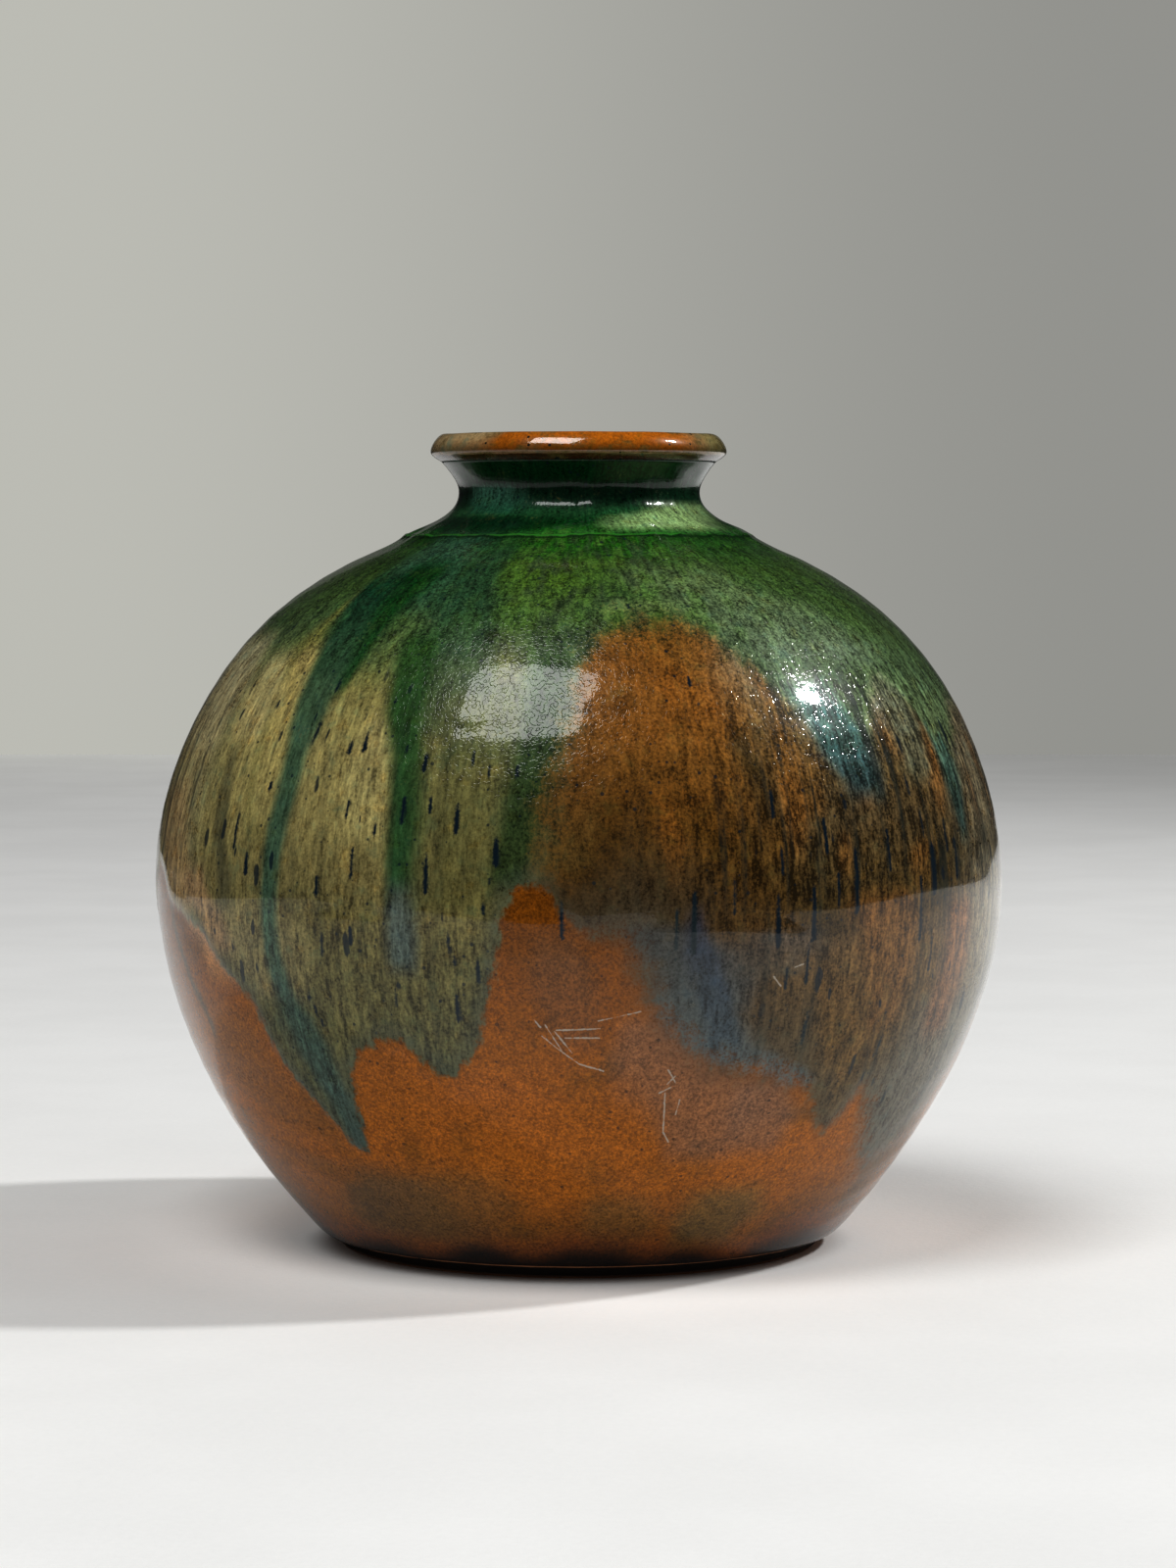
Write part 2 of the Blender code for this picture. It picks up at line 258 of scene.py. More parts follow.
# Colours of the inside and of the bare clay
LINING = (270, 115, 28)
DARK_LINING = (150, 66, 20)
LINING_RUNS = (40, 95, 30)
CLAY = (420, 190, 90)
DARK_CLAY = (300, 125, 55)
SLIP = (500, 270, 150)
DARK_SLIP = (400, 200, 105)
GRIT = (70, 40, 26)
# Painted shade of the foot ring's outer face, in the dark gap under the glaze edge
FOOT_PAINTED_SHADE = (12, 8, 6)

# Clear top layer of the glazes
COAT_ROUGHNESS = 0.018
UNDER_COAT_SPECULAR = 0.12
COAT_INDEX = 1.40
RIM_COAT_INDEX = 1.60

# Colours by height in millimetres, for the glazes of the outside
GREEN_BY_HEIGHT = (
    (40, (100, 105, 45)), (75, (140, 130, 48)), (100, (165, 155, 62)), (125, (150, 180, 88)),
    # From 181.5 to 184.8 mm the green carries a painted shade line under a painted highlight line, along the
    # seam ridge
    (150, (118, 182, 85)), (163, (98, 165, 58)), (176, FERN), (181.5, (30, 120, 18)), (183.1, (8, 55, 6)),
    (183.9, (35, 180, 30)), (184.8, (10, 110, 10)), (187, (4, 55, 10)), (190, (25, 110, 40)),
    (192, (8, 55, 22)), (195, (3, 30, 12)), (199, FLARE_GREEN),
)
TAN_BY_HEIGHT = (
    (45, (105, 115, 55)), (60, (135, 128, 52)), (88, (170, 148, 56)), (100, DULL_TAN),
    (115, (335, 285, 118)), (132, TAN), (147, (350, 310, 118)), (157, (220, 250, 85)),
)
DOME_BY_HEIGHT = (
    (88, (125, 65, 16)), (95, (98, 50, 11)), (112, (122, 60, 10)), (124, (172, 80, 15)),
    (134, (230, 112, 23)), (150, (275, 125, 25)), (160, (210, 108, 22)),
)
BROWN_BY_HEIGHT = (
    (45, (160, 95, 28)), (86, (175, 105, 38)), (90.5, (150, 95, 40)), (94, (90, 56, 18)), (102, (90, 59, 20)),
    (116, (105, 72, 32)), (131, (135, 92, 36)), (142, (185, 128, 54)), (152, GREY_BROWN),
)
HONEY_BY_HEIGHT = (
    # Near the foot edge the honey darkens almost to black: painted shade of the gap between glaze edge and
    # table
    (4, (12, 4, 1)), (6, (60, 17, 2)), (9, (190, 56, 6)), (15, (250, 92, 6)), (24, (375, 128, 5)),
    (38, HONEY), (58, (385, 130, 6)), (74, (300, 100, 5)), (90, DARK_HONEY),
)

# Colours of the rim: by angle round it, and of its stains and specks; a painted highlight on its lower edge
# and painted shade under it
RIM_ORANGE = (470, 150, 8)
RIM_TAN = (380, 220, 90)
RIM_OLIVE = (310, 260, 110)
RIM_PALE = (480, 350, 180)
RIM_BY_ANGLE = (
    (-180, RIM_ORANGE), (-130, RIM_TAN), (-90, RIM_OLIVE), (-66, RIM_PALE), (-46, RIM_PALE), (-32, RIM_TAN),
    (-20, RIM_ORANGE), (36, RIM_ORANGE), (50, RIM_TAN), (66, RIM_OLIVE), (100, RIM_OLIVE), (140, RIM_TAN),
    (180, RIM_ORANGE),
)
# Painted highlight of the rim's lower edge and painted shade under the rim
RIM_EDGE_PAINTED_HIGHLIGHT = (420, 270, 160)
RIM_UNDER_PAINTED_SHADE = (70, 15, 2)
RIM_STAIN = (150, 110, 30)
RIM_SPECK = (15, 16, 10)

# Edge of the run glaze as (angle, height in millimetres): the front as seen, the back as in the solids
RUN_EDGE = (
    (-76, 101), (-68, 91), (-59, 86), (-53, 76), (-48.5, 71), (-46, 58), (-41, 45), (-37, 35), (-34.8, 33),
    (-33.4, 38), (-32.6, 54), (-30.5, 59), (-27, 63), (-24, 63), (-21.5, 58.5), (-19, 54.5), (-16.5, 55),
    (-13.5, 61), (-12, 70), (-10.2, 83), (-9.3, 94), (-8, 100), (-5.5, 102.5), (-3.5, 100), (0, 91), (6, 88),
    (8.5, 76), (12.5, 65), (17.5, 57), (23, 55), (29.5, 53), (34.5, 49), (36.5, 42), (40, 37.5), (42.5, 42),
    (44.5, 48), (46.5, 44), (50, 32), (56, 25), (62, 27), (70, 44), (80, 66), (95, 44), (108, 70), (122, 36),
    (137, 60), (150, 82), (168, 40), (182, 66), (200, 48), (216, 80), (232, 37), (250, 66), (264, 50),
    (276, 90),
)

# Wide gaps between the points of that edge are filled at about this many degrees
ROUND_STEP = 2.5

# Upper edge of the rust and brown glaze over the right half, as (angle, height in millimetres)
RUST_EDGE = (
    (-12, 138), (-4, 142), (-1.5, 150), (0, 155.5), (3, 160), (7, 162), (12, 162.5), (17, 162), (22, 159.5),
    (26, 154.5), (30, 146.5), (35, 138), (41, 131), (46, 138), (51, 149), (56, 147), (61, 134), (67, 131),
    (74, 139), (90, 142),
)

# A thin pale line of glaze that follows the upper edge of the rust, in millimetres above it
ARC_RISE = 4.5
ARC_HALF_WIDTH = 1.1
ARC_GREEN = (230, 300, 110)

# Where the glazes of the outside fade in, from none to all: tops and feet in millimetres, sides in degrees
TAN_TOP, TAN_LEFT, TAN_RIGHT = (166, 149), (-66, -58), (-7, -13)
EDGE_TOP, EDGE_RIGHT = (160, 148), (-58, -66)
CRINKLE_FOOT, CRINKLE_TOP = (146, 164), (187, 181)
CLOUD_LEFT, CLOUD_RIGHT = (-22, -10), (16, 36)
BROWN_LEFT, GREY_LEFT = (16, 33), (54, 72)
RUSTY_FOOT = (96, 112)
RUST_ABOVE, RUST_LEFT = (7, -7), (-9, 1)
ARC_LEFT, ARC_RIGHT = (1, 7), (24, 14)
BELLY_TOP, LOW_TOP = (160, 142), (104, 88)
LEVEL_DRIFT, RUST_DRIFT, HONEY_DRIFT = 3, 1.5, 2
BACK_SWAY = 14


class Streak(NamedTuple):
    """A streak of glaze: colours at its top and bottom, course, strength, and the fade of its ends in mm."""
    top: tuple
    bottom: tuple
    course: tuple
    strength: float = 1.0
    fade: float = 7.0


# Courses hold the height in millimetres, and the angle and half-width in degrees, from the top down
GREEN_STREAKS = (
    Streak(NECK_BLUE, NECK_TEAL, ((195.5, -44, 14), (193, -44, 16), (190.5, -40, 14)), 1, 2),
    Streak((3, 30, 12), (6, 60, 20), ((187.5, -44, 24), (185, -40, 22), (182, -36, 12)), 0.85, 2),
    Streak(PALE_LEAF, PALE_LEAF, ((190.5, 56, 20), (188.5, 46, 26), (186, 38, 24)), 0.9, 2.5),
    Streak(SEAM_GREEN, SEAM_GREEN, ((182, 3, 22), (179, 2, 16)), 0.8, 3),
    Streak(MOSS, (95, 165, 45), ((174, -7, 16), (171, -8, 12), (164, -9, 7))),
    Streak((50, 105, 22), (60, 120, 30), ((175, 7, 9), (169, 9, 6)), 0.6),
    Streak((150, 220, 90), (185, 250, 150), ((172, 22, 12), (166, 34, 14), (156, 42, 14))),
    Streak((65, 165, 95), (55, 140, 70), ((179, -40, 10), (174, -36, 12), (169, -28, 8))),
    Streak((30, 95, 40), (40, 100, 45), ((178, -24, 6), (170, -22, 7), (158, -20, 6)), 0.9),
    Streak(BOTTLE, (30, 105, 30),
           ((174, -37, 6), (170, -38, 6), (164, -39.5, 5), (158, -40, 4.2), (149, -39.5, 2.5))),
    Streak((85, 150, 75), (90, 130, 60),
           ((157, -22, 7), (147, -18.5, 9), (139, -16.5, 7.5), (134, -13.5, 5)), 0.9),
    Streak((240, 250, 70), DULL_TAN,
           ((167, -49, 2.5), (157, -50, 4), (147, -49, 4), (130, -47.5, 3.6), (104, -46, 2.2))),
    Streak(OCHRE, TAN, ((153, -49.5, 2.6), (147, -48.5, 3.6), (133, -47.5, 3.4), (118, -46.6, 1.8)), 0.95),
    Streak((270, 225, 105), (230, 195, 92), ((90, -45.5, 8), (80, -44, 7), (74, -43, 5)), 0.65),
    Streak((50, 85, 55), (50, 80, 60), ((69, -41, 3), (65, -41, 4), (60, -39, 4)), 0.55),
    Streak((640, 570, 340), (540, 460, 250), ((155, -75, 9), (142, -73, 9), (134, -72, 8)), 0.85),
    Streak((400, 260, 130), (420, 240, 110), ((118, -73, 5), (106, -70, 6), (94, -67, 6)), 0.5),
    Streak((560, 480, 250), (520, 440, 220), ((151, -57, 4), (144, -56, 5), (137, -56, 4)), 0.6),
    Streak((470, 405, 180), (460, 400, 175), ((136, -28, 3), (127, -27.5, 4), (116, -28, 3)), 0.8),
    Streak((420, 270, 140), (410, 250, 120), ((98, -61, 3), (91, -57, 4), (85, -54, 3)), 0.7),
    Streak((8, 70, 30), TEAL,
           ((171, -46, 5), (162, -45, 4.5), (155, -43.6, 3.8), (147, -43, 3), (139, -42.8, 2.8))),
    Streak(TEAL, (60, 105, 85),
           ((145, -43, 2.8), (131, -42.7, 2.2), (122, -42.2, 1.9), (108, -42.8, 1.8), (91, -43.2, 1.5),
            (83, -42.8, 1.4), (72, -41, 1.6), (62, -38.9, 2.2), (46, -36, 2.6), (36, -34.8, 1.8))),
    Streak((45, 120, 30), (40, 100, 40),
           ((157, -26, 4), (150, -25.4, 3.4), (141, -25, 3), (131, -23.2, 2.8), (118, -22.2, 2.6),
            (108, -22.4, 2.4), (96, -22, 2.2))),
    Streak((105, 130, 105), SLATE, ((97, -22, 2.2), (92, -22, 2.4), (84, -22, 2))),
    Streak((170, 180, 66), OLIVE, ((142, -15, 5), (128, -14.5, 6), (112, -14.5, 5), (98, -15, 5)), 0.75),
    Streak((70, 180, 165), (60, 120, 110), ((144, 37, 4), (138, 38.5, 5), (131, 39.5, 5)), 0.8),
    Streak((50, 95, 35), (55, 85, 28),
           ((152, -3.5, 2.5), (147, -4.2, 3), (136, -5.2, 3.2), (125, -6, 3.4), (115, -6.8, 3.2),
            (104, -8.6, 2.6))),
    Streak((80, 115, 70), (100, 105, 60),
           ((163, -58, 1.6), (159, -59, 2), (153, -61.5, 2), (145, -62.5, 2), (136, -62, 1.5)), 0.2),
    Streak((95, 115, 75), (90, 90, 55),
           ((150, -68, 1.6), (135, -68, 2), (118, -65, 1.6), (104, -62, 1.4)), 0.25),
    Streak((110, 110, 60), (80, 80, 45), ((128, -57, 1.2), (112, -55, 1.6), (98, -52, 1.2)), 0.7),
)
RUST_STREAKS = (
    Streak((265, 118, 24), (265, 118, 24), ((156, 5, 4), (151, 6, 6), (143, 7, 5), (136, 8, 4)), 0.8),
    Streak(RUST, CHESTNUT, ((148, 15, 3), (140, 16, 5), (128, 12, 6)), 0.5),
    Streak((220, 100, 22), (150, 95, 28), ((132, 1, 4), (120, -0.5, 3.5), (108, -1.5, 3)), 0.7),
    Streak((40, 40, 20), UMBER, ((133, 22, 1.6), (127, 23.5, 2), (119, 25, 2), (110, 26, 1.5)), 0.6),
    Streak((60, 175, 170), (50, 85, 80), ((148, 38, 3.5), (140, 38.5, 5.5), (133, 39.5, 5), (124, 41.5, 3))),
    Streak((270, 260, 180), (230, 215, 150), ((150, 47, 4), (142, 47, 4.5)), 0.8),
    Streak((170, 205, 135), (130, 140, 90), ((146, 54, 4), (136, 53.5, 4), (128, 53, 3)), 0.8),
    Streak((90, 160, 110), (60, 95, 80), ((138, 62, 2.5), (131, 62.5, 3), (124, 62.5, 3), (112, 62, 1.8))),
    Streak((210, 130, 40), CHESTNUT, ((142, 31, 3), (130, 31, 4), (120, 31, 3)), 0.5),
    Streak((85, 70, 60), (140, 172, 178),
           ((90, 11, 5), (86, 14, 6), (80, 17, 6), (70, 16, 5), (62, 19, 4.5), (56, 26, 5), (53, 31, 3)),
           1, 4),
    Streak((28, 36, 80), (70, 110, 155), ((92, 15, 1.2), (84, 16, 2), (74, 17.5, 2), (64, 19, 2)), 0.7),
    Streak((105, 90, 75), (110, 85, 55), ((89, 27, 5), (85, 26, 6), (80, 25, 5)), 0.65, 2.5),
    # A pale grey streak down the right edge: painted reflection of the table
    Streak((170, 150, 110), (210, 225, 205), ((66, 60, 8), (50, 57, 9), (36, 54, 9), (24, 53, 9)), 0.65),
    Streak((260, 120, 32), (230, 110, 30), ((94, 43, 6), (84, 44, 5), (68, 45, 3)), 0.55),
    Streak((300, 130, 50), (260, 115, 45), ((90, 60, 3), (78, 60, 3.5), (64, 58, 3)), 0.7),
)
HONEY_STREAKS = (
    Streak((320, 125, 20), (275, 108, 12), ((64, -57, 8), (57, -56, 9), (49, -51, 10), (40, -46, 8)), 0.75),
    Streak((620, 370, 190), (500, 240, 80), ((93, -61, 4), (85, -57, 5), (78, -55, 4)), 0.85),
    Streak(MAUVE, MAUVE, ((66, 10, 5), (60, 11, 7), (52, 15, 9), (44, 19, 9), (37, 18, 5)), 0.7),
    Streak((150, 90, 30), (130, 75, 22), ((25, -32, 8), (20, -34, 12), (14, -34, 12)), 0.8),
    Streak((200, 90, 30), (260, 100, 25), ((86, -2.5, 3), (76, -2, 4), (66, -1, 3)), 0.7),
    Streak((460, 155, 18), HONEY, ((52, -12, 8), (44, -14, 10), (32, -10, 14)), 0.6),
    Streak((190, 115, 30), (150, 90, 22), ((21, 26, 7), (17, 26, 9), (13, 24, 7)), 0.85),
    Streak((220, 115, 28), (180, 90, 20), ((26, -19, 6), (21, -20, 9), (14, -22, 8)), 0.6),
    Streak((200, 110, 30), (160, 85, 20), ((20, 6, 5), (16, 7, 6)), 0.6),
    Streak((150, 110, 55), (130, 90, 45), ((46, 66, 5), (30, 65, 6), (17, 62, 5)), 0.7),
    Streak((110, 85, 45), (110, 85, 45), ((92, -70, 0.8), (76, -66, 0.8), (62, -62, 0.8)), 0.8),
    Streak((300, 160, 90), (280, 140, 70), ((50, 26, 4), (44, 27, 6), (38, 27, 5)), 0.75),
)


class Speck(NamedTuple):
    """A dark dash: height in mm and angle of its middle, half-width and half-length in mm, and lean."""
    height: float
    angle: float
    wide: float
    long: float
    lean: float = 0.0


SPECKS = tuple(Speck(*row) for row in (
    (134.5, -30.5, 0.5, 2.4), (133, -33, 0.35, 1.4), (144, -27.5, 0.45, 0.5), (133, -24, 0.4, 0.9),
    (130, -20.5, 0.5, 2), (120, -19, 0.4, 1.5), (117, -15.5, 0.45, 3.4), (128, -8, 0.4, 1.4),
    (123, -45.5, 0.55, 0.7), (112, -51, 0.4, 4.4), (104, -47.5, 0.5, 2.4), (118.5, -31.5, 0.35, 2.2),
    (114, -26.5, 0.4, 1.3), (106, -30, 0.5, 3.6), (100, -35, 0.6, 2.4), (104, -19.5, 0.55, 4.6, 0.06),
    (109.5, -10.5, 0.7, 3, 0.05), (96, -11.5, 0.5, 0.9), (102.5, -10.8, 0.4, 0.4), (88.5, -29.5, 0.55, 2),
    (88.5, -16, 0.5, 5.8, 0.22), (81, -12.5, 0.5, 2.4, 0.1), (72, -15.5, 0.75, 3.2, 0.08),
    (69.5, -36.5, 0.5, 4.2, 0.45), (74, -24, 0.45, 2.2, 0.1), (93.5, -2, 0.55, 4.4, 0.06),
    (147.5, -39, 0.35, 1.6), (136, -39.5, 0.4, 3.4, -0.2), (142.5, -50, 0.35, 1.1), (118.5, -23, 0.45, 3.4),
    (86, -34, 0.35, 2.6), (131.5, -14, 0.4, 2), (128, -12, 0.35, 1.5), (161, -61, 0.45, 2.4, -0.3),
    (120, 25.5, 0.45, 3.2), (102.5, 53, 0.9, 6), (101, 38, 0.6, 7.5), (94, 30.8, 0.7, 6),
    (92.5, 14.5, 0.6, 7), (91, 12.5, 0.4, 4.6), (98.5, 20, 0.4, 4.2), (92.5, 25.7, 0.45, 6),
    (93, 49.5, 0.55, 8), (108, 44, 0.4, 5),
    (112, 33.5, 0.4, 4), (104, 59, 0.6, 5), (110, 56.5, 0.4, 4), (99, 34.5, 0.35, 4), (82, 30.5, 0.45, 5),
    (81, 53, 0.5, 4.4), (66, 31, 0.6, 4.2, -0.1), (149, 17, 0.4, 1.2), (123, 50, 0.4, 2.6, 0.12),
    (114, 51.5, 0.5, 3.6, 0.1), (106.5, 26.5, 0.35, 3), (78.5, 27.5, 0.35, 2.6), (131, 67, 0.45, 3.6, 0.2),
    (166.5, 9.5, 0.4, 0.4), (166.5, 11.5, 0.3, 0.3), (166, 7, 0.35, 0.4), (60, 45, 0.4, 3.2, -0.3),
    (52, 43.5, 0.35, 2.2, -0.3),
))

# Specks strewn over the back: their number, and the limits of height, angle, half-width and half-length
BACK_SPECKS = 46
BACK_SPECK_LIMITS = ((62, 150), (95, 265), (0.7, 1.2), (0.8, 5.0))
BACK_SPECK_SEED = 7

# Pale scratches on the glaze, each from one (height in mm, angle) to another
SCRATCHES = (
    ((69.5, -5.6), (67.6, -4.8)), ((68.2, -4.2), (61.2, -1.9)), ((66.6, -3), (61.4, -0.8)),
    ((65.4, -4.6), (62.6, -2.8)), ((62.6, -2.8), (58.6, 0.1)), ((58.6, 0.1), (56.8, 3.4)),
    ((66.9, -2.8), (67.3, 2.8)), ((65, -1.6), (65, 2.8)), ((69.2, 2.6), (71.4, 8)),
    ((56.9, 12.1), (53.4, 13.4)), ((55.2, 13.2), (53.2, 12.2)), ((51, 11.2), (52.4, 12.8)),
    ((51, 12), (41, 12.4)), ((41, 12.4), (38.4, 13.4)), ((49.2, 14.2), (45.4, 13.9)),
    ((81, 28.4), (81.6, 29.6)), ((79, 25.4), (76.6, 26.6)),
)
SCRATCH_HALF_WIDTH = 0.00019

# The flow coordinates wrap the outside round a cylinder of this radius, with the outline's length as height
FLOW_RADIUS = 0.1000
# Millimetres along the belly in one degree of turn
MM_PER_DEGREE = 1.85
# Softness of the edges of random dots, as a share of their cells
SPOT_EDGE = 0.03


# Outline of the vase

def direction(degrees):
    """The unit (radius, height) direction at an angle above the outward horizontal."""
    angle = math.radians(degrees)
    return np.array((math.cos(angle), math.sin(angle)))


def curve(start, start_handle, end_handle, end):
    """Points on a cubic curve, without its first one."""
    t = np.linspace(0, 1, CURVE_STEPS + 1)[1:, None]
    s = 1 - t
    return start * s**3 + start_handle * (3 * s * s * t) + end_handle * (3 * s * t * t) + end * t**3


def coat_outline():
    """The glazed outline from the foot edge to the lip under the rim roll, as fine points."""
    foot = np.array((FOOT_EDGE_RADIUS, FOOT_EDGE_HEIGHT))
    belly = np.array((BELLY_RADIUS, BELLY_HEIGHT))
    shoulder = np.array((SHOULDER_RADIUS, SHOULDER_HEIGHT))
    waist = np.array((WAIST_RADIUS, WAIST_HEIGHT))
    lip = np.array((LIP_RADIUS, RIM_SEAT))
    up = np.array((0, 1))
    low_rise = BELLY_HEIGHT - FOOT_EDGE_HEIGHT
    high_rise = SHOULDER_HEIGHT - BELLY_HEIGHT
    slope = direction(-SHOULDER_SLOPE)
    lower = curve(foot, foot + direction(FOOT_TAPER) * low_rise * FOOT_FULLNESS,
                  belly - up * low_rise * LOWER_BELLY_FULLNESS, belly)
    upper = curve(belly, belly + up * high_rise * UPPER_BELLY_FULLNESS,
                  shoulder + slope * (BELLY_RADIUS - SHOULDER_RADIUS) * SHOULDER_FULLNESS, shoulder)
    neck = curve(shoulder, shoulder - slope * (SHOULDER_RADIUS - WAIST_RADIUS) * NECK_FOOT_FULLNESS,
                 waist - up * NECK_HEIGHT * WAIST_FULLNESS, waist)
    flare = curve(waist, waist + up * FLARE_HEIGHT * FLARE_FULLNESS,
                  lip - direction(LIP_SLOPE) * FLARE_HEIGHT * LIP_FULLNESS, lip)
    return eased(np.vstack((foot[None], lower, upper, neck, flare)))


def eased(outline):
    """The outline with its bends between shoulder and lip rounded by a running average."""
    fine = resampled(outline, OUTLINE_POINTS)
    step = arc_lengths(fine)[-1] / (OUTLINE_POINTS - 1)
    reach = round(3 * NECK_EASE / step)
    share = np.exp(-0.5 * (np.arange(-reach, reach + 1) * step / NECK_EASE) ** 2)
    padded = np.pad(fine, ((reach, reach), (0, 0)), mode="edge")
    average = [np.convolve(padded[:, axis], share / share.sum(), mode="valid") for axis in (0, 1)]
    start = SHOULDER_HEIGHT - NECK_EASE_RISE
    amount = np.clip((fine[:, 1] - start) / NECK_EASE_RISE, 0, 1)
    amount = amount * np.clip((RIM_SEAT - fine[:, 1]) / LIP_EASE_RISE, 0, 1)
    return fine + (np.stack(average, axis=1) - fine) * amount[:, None]


def skin_outline():
    """The coat's outline in rows for the skin: closer together on the neck than on the globe."""
    outline = coat_outline()
    start = int(np.argmax(outline[:, 1] > SHOULDER_HEIGHT - NECK_EASE_RISE))
    globe = resampled(outline[:start + 1], GLOBE_ROWS + 1)[:-1]
    return np.vstack((globe, resampled(outline[start:], NECK_ROWS)))


def rim_outline():
    """The outline over the rim roll: under its edge, round its bulge, over its crest, to its inner edge."""
    lip = np.array((LIP_RADIUS, RIM_SEAT))
    up = np.array((0, 1))
    out = np.array((1, 0))
    bulge = np.array((LIP_RADIUS + BEAD_OVERHANG, HEIGHT - BEAD_DROP))
    edge = np.array((bulge[0] - EDGE_INSET, RIM_SEAT + BEAD_UNDERCUT))
    crest = np.array((bulge[0] - CREST_INSET, HEIGHT))
    slope = direction(LIP_SLOPE)
    inner = lip + np.array((-slope[1], slope[0])) * THROAT_DEPTH
    reach = np.linalg.norm(edge - lip) * STRAIGHT_FULLNESS
    under = curve(lip, lip + direction(UNDER_SLOPE) * reach, edge - direction(EDGE_SLOPE) * reach, edge)
    side = curve(edge, edge + direction(EDGE_SLOPE) * EDGE_INSET * ROUND_FULLNESS,
                 bulge - up * (bulge[1] - edge[1]) * ROUND_FULLNESS, bulge)
    top = curve(bulge, bulge + up * BEAD_DROP * FRONT_FULLNESS,
                crest + out * CREST_INSET * CREST_FULLNESS, crest)
    roll = curve(crest, crest - out * (crest[0] - inner[0]) * ROUND_FULLNESS,
                 inner + slope * (crest[1] - inner[1]) * ROUND_FULLNESS, inner)
    return np.vstack((lip[None], under, side, top, roll))


def lining_outline():
    """The inside of the wall from the rim's inner edge down, round the cove, to the middle of the floor."""
    coat = coat_outline()
    wall = (coat - outward(coat) * THROAT_DEPTH)[::-1]
    wall = wall[wall[:, 1] > LINING_FLOOR + COVE]
    corner = np.array((wall[-1, 0] - COVE, LINING_FLOOR))
    down = wall[-1] - wall[-2]
    down = down / np.linalg.norm(down)
    cove = curve(wall[-1], wall[-1] + down * COVE * ROUND_FULLNESS,
                 corner + np.array((COVE * ROUND_FULLNESS, 0)), corner)
    return np.vstack((wall, cove, np.array((0, LINING_FLOOR))[None]))


def arc_lengths(points):
    """Length along a line at each of its points."""
    steps = np.linalg.norm(np.diff(points, axis=0), axis=1)
    return np.concatenate(([0], np.cumsum(steps)))


def resampled(points, rows):
    """A line with evenly spaced points."""
    lengths = arc_lengths(points)
    even = np.linspace(0, lengths[-1], rows)
    return np.stack([np.interp(even, lengths, points[:, axis]) for axis in (0, 1)], axis=1)


def outward(points):
    """The direction to the right of a line at each point: out of the glaze where it runs up the outside."""
    along = np.gradient(points, axis=0)
    along /= np.linalg.norm(along, axis=1)[:, None]
    return np.stack((along[:, 1], -along[:, 0]), axis=1)


def on_shoulder(outline):
    """Which rows lie between the belly and the waist."""
    return (outline[:, 1] > BELLY_HEIGHT) & (outline[:, 1] < WAIST_HEIGHT)


# Meshes

def skin_angles():
    """Angles of the skin's columns, closer together at the front."""
    front = np.arange(-FRONT_HALF, FRONT_HALF, FRONT_STEP)
    columns = round((360 - 2 * FRONT_HALF) / BACK_STEP)
    back = np.linspace(FRONT_HALF, 360 - FRONT_HALF, columns, endpoint=False)
    return np.concatenate((front, back))


def even_angles(columns):
    return np.arange(columns) * 360 / columns


def turned(section, angles):
    """Points of a turned grid. A section holds radius and height per row, or per row and column."""
    turn = np.radians(angles)
    shape = (len(section[0]), len(turn))
    radius, height = (np.broadcast_to(part.reshape(len(part), -1), shape) for part in section)
    return np.stack((radius * np.sin(turn), -radius * np.cos(turn), height), axis=2)


def shell(outline, relief, behind):
    """Section of a shell, per row and column: an outline raised by a relief, then the line behind it."""
    raised = outline[:, None] + outward(outline)[:, None] * relief[..., None]
    hidden = np.repeat(behind[:, None], relief.shape[1], 1)
    return np.moveaxis(np.concatenate((raised, hidden)), 2, 0)


def closed_piece(name, grid, material, slot, *nodes):
    """A closed piece from a grid of points whose rows and columns both run round to their start."""
    rows, columns = grid.shape[:2]
    index = np.arange(rows * columns).reshape(rows, columns)
    above = np.roll(index, -1, axis=0)
    faces = np.stack((index, np.roll(index, -1, axis=1), np.roll(above, -1, axis=1), above), axis=2)
    mesh = bpy.data.meshes.new(name)
    mesh.from_pydata(grid.reshape(-1, 3).tolist(), [], faces.reshape(-1, 4).tolist())
    mesh.shade_smooth()
    mesh.materials.append(material)
    piece = bpy.data.objects.new(name, mesh)
    bpy.context.collection.objects.link(piece)
    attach(piece, "root")
    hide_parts(*nodes)
    return piece


def add_field(piece, name, values):
    """Store one number, or one vector or colour, per point of a piece."""
    kind, key = ("FLOAT", "value") if values.ndim == 2 else ("FLOAT_VECTOR", "vector")
    field = piece.data.attributes.new(name, kind, "POINT")
    field.data.foreach_set(key, values.astype(np.float32).ravel())


def merge_points(piece):
    """Join the points that meet on the axis."""
    shape = bmesh.new()
    shape.from_mesh(piece.data)
    bmesh.ops.remove_doubles(shape, verts=shape.verts, dist=MERGE_DISTANCE)
    shape.to_mesh(piece.data)
    shape.free()


# Painting the glaze

def linear(colour):
    """A colour, or a field of colours, from thousandths to plain numbers."""
    return np.array(colour) / 1000


def smooth(low, high, value):
    """A soft step from 0 at low to 1 at high."""
    t = np.clip((value - low) / (high - low), 0, 1)
    return t * t * (3 - 2 * t)


def hump(value, middle, spread):
    """A soft peak of 1 at a middle value."""
    return np.exp(-(((value - middle) / spread) ** 2))


def grain(flow, size, stretch, seed):
    """Soft noise of about -1 to 1, with features of a size in metres drawn out along the run."""
    points = flow.reshape(-1, 3) / (size, size, size * stretch) + seed
    values = [noise.noise(point) for point in points.tolist()]
    return np.array(values).reshape(flow.shape[:2]) * 2


def graded(value, stops):
    """Colours that change with a value, such as the height, from stop to stop."""
    places = [stop[0] for stop in stops]
    channels = [np.interp(value, places, [stop[1][axis] for stop in stops]) for axis in range(3)]
    return linear(np.stack(channels, axis=-1))


def lay(canvas, colours, cover):
    """Lay plain colours over a field of them, as far as they cover it."""
    canvas += (colours - canvas) * cover[..., None]


